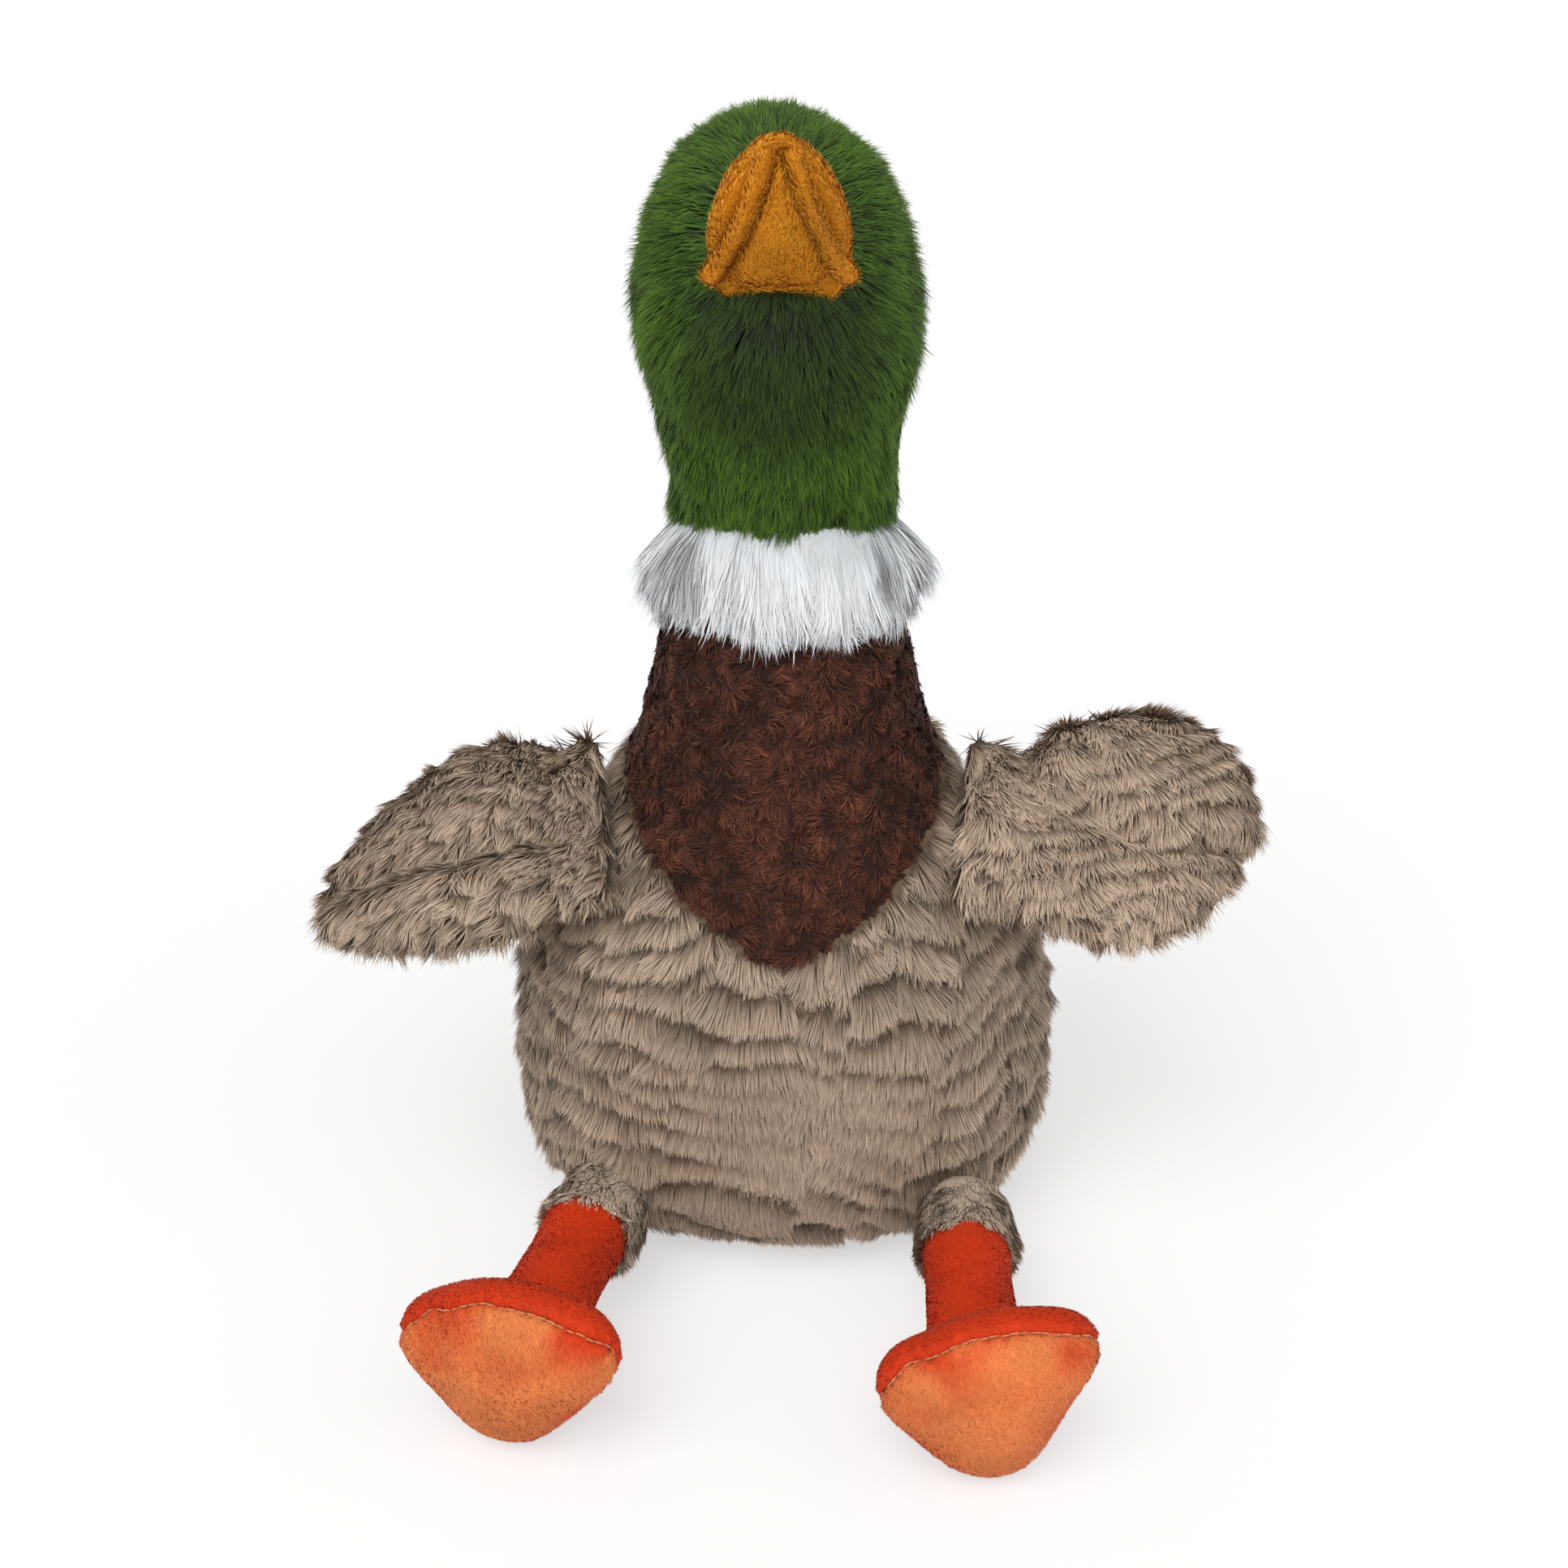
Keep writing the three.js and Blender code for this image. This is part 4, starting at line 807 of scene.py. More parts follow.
away = head.points - bill_root
from_bill = np.linalg.norm(away, axis=1)
near_bill = np.clip(1 - from_bill / (62 * mm), 0, 1)[:, None]
fall = away / from_bill[:, None] * (0.35 + near_bill) + np.array([0, 0.15, -1.0]) * (1 - near_bill)
comb = head.tangent(fall + 0.35 * strays(head.points, 18 * mm, 42))
lift = 0.52 + 0.22 * ripple(head.points, 9 * mm, 45) + 0.12 * eased(head.points[:, 2], 0.28, 0.32)
off_axis = np.linalg.norm(away - (away @ bill_out)[:, None] * bill_out, axis=1)
in_front = (away @ bill_out) > -6 * mm
bill_section = np.hypot(away[:, 0], away @ bill_up - 4 * mm)
under_bill = in_front & (bill_section < 11 * mm)
trimmed = 0.55 + 0.45 * eased(off_axis, 17 * mm, 26 * mm) * np.ones(len(lift))
trimmed = np.where(in_front, trimmed, 1) * (1 - 0.32 * eased(head.points[:, 2], 0.285, 0.32))
for eye_box in eye_boxes.values():
    from_eye = np.linalg.norm(head.points - eye_box.mean(0), axis=1)
    trimmed = np.minimum(trimmed, 0.4 + 0.6 * eased(from_eye, 7 * mm, 13 * mm))
# painted shadow: the green pile is darkened in a patch under the bill, on the throat
from_throat_shadow = np.linalg.norm(head.points - bill_root - np.array([0, -6 * mm, -22 * mm]), axis=1)
fields = {
    "nap": leaned(comb, head.out, lift),
    "out": head.out,
    "pile": trimmed * (0.95 + 0.2 * ripple(head.points, 8 * mm, 46)),
    "thick": np.where(under_bill | (head.points[:, 2] < neck_joint[2] - 9 * mm), 0.0, 1.0),
    "shade": (0.98 + 0.2 * ripple(head.points, 16 * mm, 47)) * (1 - 0.55 * eased(from_throat_shadow, 30 * mm, 8 * mm)),
}
green_root, green_middle, green_tip = (0.003, 0.007, 0.001), (0.017, 0.045, 0.002), (0.085, 0.165, 0.009)
green_plush = plush_material("green_plush", green_root, green_middle, green_tip, 0.02, 0.6, 0.05, 0.35)
green_backing = backing_material("green_backing", (0.02, 0.05, 0.006), 1.5 * mm)
green_pile = {
    "Per Area": 3.6e6,
    "Length": 10.5 * mm,
    "Width": 0.32 * mm,
    "Bend": 0.22,
    "Twist": 0.9,
    "Lock Size": 4.5 * mm,
    "Lock Pull": 0.35,
    "Waver": 4.5 * mm,
    "Waver Size": 5 * mm,
    "Parts": 2,
}
middle_seam = head_aside * eased(head.points[:, 2], neck_joint[2], neck_joint[2] + head_height)
for name, part, seed in (
    ("left", head.points[:, 0] < middle_seam + 0.3 * mm, 6),
    ("right", head.points[:, 0] > middle_seam - 0.3 * mm, 7),
):
    bare = head.mesh_object("head_skin_" + name, part, **fields)
    pile("head_pile_" + name, bare, green_plush, "head", "green_fur", **green_pile, Seed=seed)
head_cover = head.halved().mesh_object("head_cover")
fixed(head_cover, green_backing, "head", "green_fur", "head_left", "head_right", fill=0.8)


# Ruff: a ring of long white pile, sewn into the seam where the green plush meets the brown fleece. Its hair
# falls outwards and down in pointed locks.
turns, loops = 130, 30
turn = 2 * np.pi * np.arange(turns) / turns
loop = 2 * np.pi * np.arange(loops) / loops
ruff_tilt = 0.2  # the front stands higher than the back
ruff_radius = 31.2 * mm + 1.8 * mm * np.cos(loop) - 2.8 * mm * np.sin(loop)
ruff_height = -8.5 * mm + 11 * mm * np.sin(loop)
across, back = np.cos(turn)[:, None] * ruff_radius, np.sin(turn)[:, None] * ruff_radius
ring = np.stack([across, back, ruff_height - ruff_tilt * back], 2)
ruff = Skin(ring[::-1] + neck_joint, hoop=True)
outwards = ruff.points - neck_joint
below_lip = -outwards[:, 2] - ruff_tilt * outwards[:, 1]
outwards = unit(outwards * (1, 1, 0))
upper = eased(below_lip, 16 * mm, 0)
aside = np.abs(outwards[:, 0])
flare = 0.24 + upper * (0.2 + 0.22 * aside)
nap = outwards * flare[:, None] + np.array([0, 0, -1.0]) * (1 - 0.2 * upper * aside)[:, None]
nap[:, 0] += 0.22 * outwards[:, 0] * upper
nap += 0.34 * strays(ruff.points, 9 * mm, 51) + 0.14 * strays(ruff.points, 3 * mm, 57)
fields = {
    "nap": unit(nap),
    "out": 0.5 * ruff.out + np.array([0, 0, 0.7]),  # long hair is lit from above at its sides too
    "pile": (0.55 + 0.5 * upper) * (1 - 0.28 * aside) * (1 + 0.25 * ripple(ruff.points, 6 * mm, 54)),
    "thick": ((ruff.out * outwards).sum(1) > -0.6).astype(float),
    "shade": 0.97 + 0.07 * ripple(ruff.points, 6 * mm, 55),
}
white_root, white_middle, white_tip = (0.64, 0.66, 0.675), (0.73, 0.745, 0.76), (0.8, 0.815, 0.825)
white_plush = plush_material("white_plush", white_root, white_middle, white_tip, 0.02, rough=0.7, spread=0.06)
white_backing = backing_material("white_backing", (0.7, 0.715, 0.73), 1.5 * mm)
bare = ruff.mesh_object("ruff_skin", **fields)
ruff_pile = {
    "Per Area": 3.8e6,
    "Length": 23 * mm,
    "Width": 0.4 * mm,
    "Bend": 0.28,
    "Twist": 0.7,
    "Lock Size": 6.5 * mm,
    "Lock Pull": 0.5,
    "Waver": 5 * mm,
    "Waver Size": 10 * mm,
    "Parts": 4,
}
pile("ruff_pile", bare, white_plush, "torso", "white_fur", **ruff_pile, Seed=8)
fixed(ruff.mesh_object("ruff_cover"), white_backing, "torso", "white_fur", "neck_ruff")


# Bill: an upper and a lower piece of amber velvet, stuffed as one. The two mouth seams stand up as round
# welts from the tip to the corners at the head, and the lower piece swells between them.
bill_length, bill_half, bill_upper, bill_lower = 40 * mm, 16 * mm, 20 * mm, 5 * mm
mouth_drop, mouth_rise = 7.5 * mm, 0.5 * mm
bill_shares = [  # length, half width, upper and lower depth, as shares of those sizes
    (-0.2, 0.68, 0.95, 0.03),
    (-0.07, 0.9, 1, 0.08),
    (0.05, 1, 0.99, 0.2),
    (0.14, 1, 0.94, 0.55),
    (0.26, 0.98, 0.87, 0.87),
    (0.45, 0.91, 0.73, 1),
    (0.64, 0.76, 0.55, 0.9),
    (0.8, 0.56, 0.38, 0.68),
    (0.92, 0.36, 0.22, 0.42),
    (0.99, 0.17, 0.1, 0.2),
    (1, 0.02, 0.02, 0.02),
]
length, width, high, low = smooth_rows(bill_shares, 100).T
line = length * (mouth_drop + mouth_rise) - mouth_drop
reach = (width * bill_half, low * bill_lower, high * bill_upper)
sections = np.stack([length * bill_length, *reach, line, 0 * line], 1)
rings = lofted(sections, 170)
across, up, along = rings[..., 0], rings[..., 1], rings[..., 2]
mouth_half = 17 * mm - 13.6 * mm * np.clip(along / (38 * mm), 0, 1) ** 0.9
below = up < line[:, None]
off_mouth = np.where(below, np.abs(across) - mouth_half, 3 * mm + up - line[:, None])
on_edge = below & (np.abs(across) > 0.97 * sections[:, 1:2])
off_mouth = np.where(on_edge, np.maximum(off_mouth, -0.5 * mm), off_mouth)
tucked = eased(along, -3 * mm, 5 * mm)
welt = 2.3 * mm * np.exp(-((off_mouth / (1.5 * mm)) ** 2)) * eased(along, -0.5 * mm, 2.5 * mm)
welt *= 1 + 0.4 * np.exp(-(((along - 4 * mm) / (3.5 * mm)) ** 2))
crease = 1.3 * mm * np.exp(-(((off_mouth + 2.5 * mm) / (0.8 * mm)) ** 2)) * below * tucked
crease += 1.2 * mm * np.exp(-(((off_mouth - 2.6 * mm) / (0.8 * mm)) ** 2)) * eased(along, 3 * mm, 9 * mm)
belly = 1.8 * mm * eased(off_mouth, -2.5 * mm, -7.5 * mm) * tucked
lobe = 1.2 * mm * eased(off_mouth, 2.8 * mm, 5.5 * mm) * eased(along, 2 * mm, 12 * mm)
swell = 0.6 * mm + welt - crease + belly + lobe
rings = (
    bill_root
    + across[..., None] * np.array([1.0, 0, 0])
    + up[..., None] * bill_up
    + along[..., None] * bill_out
)
bill = Skin(rings)
stuff(bill, 3 * mm, 3, 0.8 * mm)
filling("bill_filling", bill, 1.6 * mm, "head", "bill_stuffing")
bill.grow(np.concatenate([swell.ravel(), 2 * [0.7 * mm]]))
bill.grow(0.2 * mm * curly(bill.points, 2.6 * mm, 61))
off_mouth = np.concatenate([off_mouth.ravel(), 2 * [9 * mm]])


def velvet_material(name, deep, colour, pale, curl_size, rough=0.75, blush=None):
    """Short dense pile with a fine grain and a little sheen on edge."""
    material = plush_material(name, deep, colour, pale, 0.02, rough, sheen=0.08, spread=0.05, blush=blush)
    tree = material.node_tree
    place = wired(tree, "ShaderNodeTexCoord").outputs["Object"]
    grain = wired(tree, "ShaderNodeTexNoise", {"Vector": place, "Scale": 1 / curl_size, "Detail": 4.0})
    inputs = {"Height": grain.outputs["Fac"], "Strength": 0.4, "Distance": 0.0005}
    bump = wired(tree, "ShaderNodeBump", inputs)
    tree.links.new(bump.outputs[0], tree.nodes["Principled BSDF"].inputs["Normal"])
    return material


def velvet_skin(name, skin, keep, thickness, material, blush=None):
    """A velvet panel with the fields that its material reads."""
    count = len(skin.points)
    fields = {
        "along": np.full(count, 0.5),
        "lock": 0.5 + 0.5 * ripple(skin.points, 1.2 * mm, 62),
        "shade": 0.97 + 0.05 * ripple(skin.points, 5 * mm, 63),
        "blush": np.zeros(count) if blush is None else blush,
    }
    return panel(skin, name, keep, thickness, material, **fields)


def velvet_fuzz(name, skin, keep, comb, finish, body, slot, seed, length=1.3 * mm, gather=0.1, blush=None):
    """The short pile of a velvet panel."""
    comb = skin.tangent(comb)
    comb = leaned(comb, np.cross(skin.out, comb), 0.7 * ripple(skin.points, 14 * mm, seed + 70))
    fields = {
        "nap": leaned(comb, skin.out, 0.5 + 0.25 * ripple(skin.points, 9 * mm, seed + 71)),
        "out": skin.out,
        "pile": np.ones(len(comb)),
        "thick": np.ones(len(comb)),
        "shade": 1 + 0.1 * ripple(skin.points, 12 * mm, seed + 72),
        "blush": np.zeros(len(comb)) if blush is None else blush,
    }
    bare = skin.mesh_object(name + "_skin", keep, **fields)
    sizes = {
        "Per Area": 3.4e6,
        "Length": length,
        "Width": 0.25 * mm,
        "Bend": 0.2,
        "Twist": 1.5,
        "Lock Size": 1.6 * mm,
        "Lock Pull": gather,
        "Waver": 0.4 * mm,
        "Waver Size": 2 * mm,
        "Parts": 2,
    }
    pile(name, bare, finish, body, slot, soft_light=0.85, **sizes, Seed=seed)


velvet_grain = 1.2 * mm
velvet_thickness = 0.8 * mm
amber_root, amber, amber_tip = (0.42, 0.12, 0.003), (0.66, 0.24, 0.006), (0.9, 0.48, 0.03)
amber_velvet = velvet_material("amber_velvet", amber_root, amber, amber_tip, velvet_grain)
amber_hair, amber_gather = 2.2 * mm, 0.35
for node, part, seed in (("bill_upper", off_mouth > -3.4 * mm, 9), ("bill_lower", off_mouth < -2.6 * mm, 10)):
    fuzz = (bill_out, amber_velvet, "head", "yellow_velvet", seed, amber_hair, amber_gather)
    velvet_fuzz(node + "_pile", bill, part, *fuzz)
    cover = velvet_skin(node + "_cover", bill, part, velvet_thickness, amber_velvet)
    fixed(cover, None, "head", "yellow_velvet", node, fill=0.8)


# Eyes: black plastic domes on a shank that a washer locks inside the head, half sunk in the plush at its
# sides. Each is one glossy moulding, pushed through the cover from outside.
def plastic_material(name, colour, rough):
    """Glossy plastic with fine wear."""
    material, tree, shell = new_material(name)
    shell.inputs["Coat Weight"].default_value = 0.4
    shell.inputs["Coat Roughness"].default_value = 0.08
    place = wired(tree, "ShaderNodeTexCoord").outputs["Object"]
    wear = wired(tree, "ShaderNodeTexNoise", {"Vector": place, "Scale": 400.0, "Detail": 5.0})
    ramp = wired(tree, "ShaderNodeValToRGB", {"Fac": wear.outputs["Fac"]})
    ramp.color_ramp.elements[0].color = (*[0.75 * value for value in colour], 1)
    ramp.color_ramp.elements[1].color = (*[1.2 * value for value in colour], 1)
    tree.links.new(ramp.outputs["Color"], shell.inputs["Base Color"])
    inputs = {"Value": wear.outputs["Fac"], "To Min": 0.7 * rough, "To Max": 1.4 * rough}
    tree.links.new(wired(tree, "ShaderNodeMapRange", inputs).outputs[0], shell.inputs["Roughness"])
    bump = wired(tree, "ShaderNodeBump", {"Height": wear.outputs["Fac"], "Strength": 0.1, "Distance": 0.0002})
    tree.links.new(bump.outputs[0], shell.inputs["Normal"])
    return material


black_plastic = plastic_material("black_plastic", (0.012, 0.011, 0.012), 0.12)
dome_depth, dome_radius = 4, 5.5  # in mm, as the rows of length and radius
eye_rows = [(-10, 0.2), (-9.8, 1.7), (-9, 2), (-1.4, 2), (-0.9, 2.4), (-0.8, 5), (-0.5, dome_radius)]
dome = np.radians([0, 12, 25, 38, 51, 64, 76, 88])
eye_rows += [(dome_depth * math.sin(a), dome_radius * math.cos(a)) for a in dome]
eye_length, eye_radius = np.array(eye_rows).T * mm
eye_sections = np.stack([eye_length, eye_radius, eye_radius, eye_radius, 0 * eye_length, 0 * eye_length], 1)
for body_side, (low, high) in eye_boxes.items():
    spot = (low + high) / 2
    nearest = np.argmin(np.linalg.norm(head.points - spot, axis=1))
    eye_out = head.out[nearest]
    level = np.cross([0, 0, 1.0], eye_out)
    level /= np.linalg.norm(level)
    outermost = high[0] if body_side == "right" else low[0]
    seat = np.array([outermost, spot[1], spot[2]]) - 4.1 * mm * eye_out
    rings = seat + lofted(eye_sections, 40) @ np.array([level, np.cross(eye_out, level), eye_out])
    eye = Skin(rings).mesh_object("eye_dome_" + body_side)
    fixed(eye, black_plastic, "head", "black_plastic", "eye_" + body_side)


# Wings: padded paddles of the same taupe plush, an upper and an under panel sewn together round the edge and
# onto the body's side along a hem. The left one is folded along its length, the right one has a raised end.
wings = {  # in mm, and rows of span, width, rise and thickness as shares of those sizes and the ones below
    "left": {
        "side": -1,
        "span": 88,
        "droop": math.radians(15),
        "sweep": -6,
        "curl": 5,
        "rows": [
            (0.15, 0.86, 0.03, 0.45),
            (0.27, 1, 0.09, 0.8),
            (0.46, 1.02, 0.17, 1),
            (0.68, 0.8, 0.12, 0.95),
            (0.85, 0.5, 0.05, 0.75),
            (0.95, 0.26, 0, 0.5),
            (1, 0.02, 0, 0.05),
        ],
    },
    "right": {
        "side": 1,
        "span": 81,
        "droop": math.radians(12),
        "sweep": 9,
        "curl": -5,
        "rows": [
            (0.15, 0.84, -0.05, 0.45),
            (0.27, 0.97, -0.08, 0.8),
            (0.45, 1.14, -0.1, 1),
            (0.68, 1.17, -0.03, 1),
            (0.85, 0.94, 0.02, 0.85),
            (0.95, 0.54, 0.01, 0.55),
            (1, 0.02, 0, 0.05),
        ],
    },
}
wing_half, wing_thickness, wing_hem = 27, 6, 5
for body_side, wing in wings.items():
    side = wing["side"]
    wing_body = "wing_" + body_side
    chord = np.array([side * 0.0895, 0.8746, 0.4765])
    level = np.array([side, 0, 0]) - side * chord[0] * chord
    level /= np.linalg.norm(level)
    turn = side * wing["droop"]
    wing_out = level * math.cos(turn) + np.cross(chord, level) * math.sin(turn)
    wing_face = np.cross(wing_out, chord)
    hem = joint_spot("wing_flap_" + body_side)
    sections = [(-2, 25, 1.6, 1.6, 0, 0), (1.5, 26, 2.4, 2.4, 0, 0), (5, 25, 3.2, 3.2, 0, 0)]
    for span, width, up, thick in wing["rows"]:
        shift = -side * wing["curl"] * span**2
        lift = wing_half * up + span * wing["sweep"]
        reach = (wing_half * width, wing_thickness * thick, wing_thickness * thick)
        sections.append((span * (wing["span"] - wing_hem), *reach, shift, lift))
    rings = lofted(smooth_rows(sections, 100), 190) * mm
    up, faced, span = rings[..., 0], rings[..., 1], rings[..., 2]
    rings = hem + up[..., None] * chord + faced[..., None] * wing_face + span[..., None] * wing_out
    paddle = Skin(rings)
    stuff(paddle, 4 * mm, 3, 2 * mm)
    filling("wing_filling_" + body_side, paddle, 0.6 * mm, wing_body, "wing_stuffing_" + body_side)
    flat_up = np.concatenate([up.ravel(), [0, up[-1].mean()]])
    flat_span = np.concatenate([span.ravel(), [0, span[-1].mean()]])
    facing = side * (paddle.out @ wing_face)
    on_top = eased(facing, -0.1, 0.3)
    if side < 0:
        fold = -9 * mm + 0.03 * flat_span
        bulge = 3 * mm * eased(flat_up, fold, fold - 5 * mm) * eased(flat_span, 0.005, 0.02)
        bulge -= 2.5 * mm * np.exp(-(((flat_up - fold) / (3.5 * mm)) ** 2)) * eased(flat_span, 0, 0.02)
    else:
        lobe_span, lobe_up, lobe_half, lobe_rise = 52 * mm, 18 * mm, 34 * mm, 21 * mm
        lobe = np.hypot((flat_span - lobe_span) / lobe_half, (flat_up - lobe_up) / lobe_rise)
        bulge = 5 * mm * eased(lobe, 1.05, 0.75) - 1.5 * mm * np.exp(-(((lobe - 1.1) / 0.14) ** 2))
    paddle.grow(2 * mm * eased(flat_span, 0, 0.01) + on_top * bulge)
    comb = -chord * (0.8 + 0.2 * on_top[:, None]) + 0.35 * wing_out
    comb += 0.25 * side * wing_face * (1 - on_top[:, None])
    tall = 2.8 * mm * eased(flat_span, -0.002, 0.004)
    lower_roll = eased(flat_up, -4 * mm, -14 * mm) * on_top
    wild = 0.85 + 0.3 * lower_roll
    broad = 8 * mm + 3 * mm * lower_roll
    flow_down = -flat_up + 0.2 * flat_span
    fields = tufted(paddle, comb, flow_down, flat_span, tall, broad, wild, 71 + side, 13 * mm, 8 * mm)
    # painted light: the wings' pile is painted lighter than the trunk's, the right one more, and the painted
    # gap shade is weakened
    fields["shade"] = (0.98 if side < 0 else 1.12) + 0.75 * (fields["shade"] - 0.75)
    fields["thick"] *= flat_span > -0.0025
    fields["pile"] = np.maximum(fields["pile"], 0.9 * eased(flat_span, 0.006, 0.002))
    for name, part, seed in (("wing_top_", facing > -0.05, 13), ("wing_under_", facing < 0.05, 15)):
        bare = paddle.mesh_object(name + "skin_" + body_side, part, **fields)
        sizes = {**taupe_pile, "Seed": seed + side}
        pile(name + "pile_" + body_side, bare, taupe_plush, wing_body, "taupe_fur", **sizes)
    wing_cover = paddle.halved().mesh_object("wing_cover_" + body_side)
    panels = ("wing_top_" + body_side, "wing_under_" + body_side)
    fixed(wing_cover, taupe_backing, wing_body, "taupe_fur", *panels, fill=0.7)


# Tail: a short flat pad of taupe plush low on the back, an upper and a lower half sewn into the back panel.
# It points up and backwards, and its pile is combed towards the tip.
tail_rise, tail_height = math.radians(30), 58 * mm
tail_out = np.array([0, math.cos(tail_rise), math.sin(tail_rise)])
tail_up = np.array([0, -math.sin(tail_rise), math.cos(tail_rise)])
x, y, z = bare_trunk[0].T
behind = np.argmin(np.abs(z - tail_height) + np.abs(x) - y)
tail_root = bare_trunk[0][behind] * (0, 1, 0) + (0, 0, tail_height)
tail_rows = [  # length, half width and half thickness, in mm
    (-14, 19, 7),
    (-5, 19, 7),
    (6, 18.8, 6.8),
    (14, 15.8, 5.5),
    (20, 10.5, 3.8),
    (24, 5, 2),
    (25.6, 0.5, 0.3),
]
length, width, thick = smooth_rows(tail_rows, 60).T * mm
rings = lofted(np.stack([length, width, thick, thick, 0 * length, 0 * length], 1), 120)
flat_along = np.concatenate([rings[..., 2].ravel(), [-14 * mm, 25.6 * mm]])
rings = rings[..., :1] * (-1.0, 0, 0) + rings[..., 1:2] * tail_up + rings[..., 2:] * tail_out + tail_root
tail = Skin(rings)
stuff(tail, 4 * mm, 3, 1.5 * mm)
filling("tail_filling", tail, 0.6 * mm, "torso", "tail_stuffing")
tail.grow(2 * mm)
tail_tuft, tail_tall, tail_wild = 13 * mm, 2.8 * mm, 0.6
broad = np.full(len(tail.points), tail_tuft)
fields = tufted(tail, tail_out, flat_along, tail.points[:, 0], tail_tall, broad, tail_wild, 81)
fields["thick"] *= flat_along > -9 * mm
# painted light: the tail's pile is lifted and its painted gap shade weakened, lightening the shadow round its
# rim
fields["shade"] = 1.0 + 0.25 * (fields["shade"] - 0.8)
bare = tail.mesh_object("tail_skin", **fields)
pile("tail_pile", bare, taupe_plush, "torso", "taupe_fur", **taupe_pile, Seed=17)
fixed(tail.mesh_object("tail_pad"), taupe_backing, "torso", "taupe_fur", "tail_cover", fill=0.7)


# Legs: round tubes of red-orange velvet that come out of furry cuffs, the thighs, which turn in the trunk.
# Each ends in a foot of the same velvet with a paler sole, stitched together round the edge; the sole's
# paler colour is painted light on its nap.
def round_form(rows, count, columns, spot, across, up, away):
    """A closed round form along an axis, from rows of length and radius."""
    length, radius = smooth_rows(rows, count).T * mm
    rings = lofted(np.stack([length, radius, radius, radius, 0 * length, 0 * length], 1), columns)
    return Skin(spot + rings[..., :1] * across + rings[..., 1:2] * up + rings[..., 2:] * away)


# painted light: the cuffs' fur and backing are lighter copies of the trunk's taupe, lifting the shade in
# their pile
cuff_root, cuff_middle, cuff_tip = (0.34, 0.26, 0.19), (0.46, 0.36, 0.27), (0.6, 0.49, 0.385)
cuff_plush = plush_material("cuff_plush", cuff_root, cuff_middle, cuff_tip, 0.03)
cuff_backing = backing_material("cuff_backing", (0.5, 0.4, 0.31), 1.5 * mm)
orange_root, orange, orange_tip = (0.5, 0.022, 0.002), (0.6, 0.036, 0.002), (0.72, 0.08, 0.006)
orange_velvet = velvet_material("orange_velvet", orange_root, orange, orange_tip, velvet_grain)
# painted light: the sole is a paler copy of the leg's velvet, for the light on its nap
sole_root, sole, sole_tip = (0.62, 0.15, 0.035), (0.72, 0.21, 0.06), (0.82, 0.31, 0.11)
sole_velvet = velvet_material("sole_velvet", sole_root, sole, sole_tip, velvet_grain, blush=orange)


def stitch_nodes():
    """Makes the tree that lays stitches end to end along a seam."""
    sockets = {"Seam": "Geometry", "Count": "Int", "Length": "Float", "Thickness": "Float"}
    tree, given = geometry_tree("stitches", {**sockets, "Finish": "Material"})
    seam = wired(tree, "GeometryNodeMeshToCurve", {"Mesh": given["Seam"]}).outputs[0]
    seam = wired(tree, "GeometryNodeResampleCurve", {"Curve": seam, "Count": given["Count"]}).outputs[0]
    bead = wired(tree, "GeometryNodeMeshIcoSphere", {"Radius": 0.5, "Subdivisions": 2}).outputs[0]
    tangent = tree.nodes.new("GeometryNodeInputTangent").outputs[0]
    lie = wired(tree, "FunctionNodeAlignRotationToVector", {"Vector": tangent}, axis="X").outputs[0]
    inputs = {0: given["Length"], 1: given["Thickness"], 2: given["Thickness"]}
    size = wired(tree, "ShaderNodeCombineXYZ", inputs)
    inputs = {"Points": seam, "Instance": bead, "Rotation": lie, "Scale": size.outputs[0]}
    sewn = wired(tree, "GeometryNodeInstanceOnPoints", inputs).outputs[0]
    sewn = wired(tree, "GeometryNodeRealizeInstances", {"Geometry": sewn}).outputs[0]
    inputs = {"Geometry": sewn, "Material": given["Finish"]}
    sewn = wired(tree, "GeometryNodeSetMaterial", inputs).outputs[0]
    tree.links.new(sewn, tree.nodes.new("NodeGroupOutput").inputs[0])
    return tree


def stitches(name, seam, count, finish, body, slot, **sizes):
    """Sews stitches along a closed seam, as a plain mesh that rides on the body."""
    ring = bpy.data.meshes.new(name + "_seam")
    ring.from_pydata(seam.tolist(), [(k, (k + 1) % len(seam)) for k in range(len(seam))], [])
    mesh = made_by(stitch_tree, placed(name + "_seam", ring), {**sizes, "Count": count, "Finish": finish})
    mesh.name = name
    fixed(placed(name, mesh), None, body, slot)


stitch_tree = stitch_nodes()
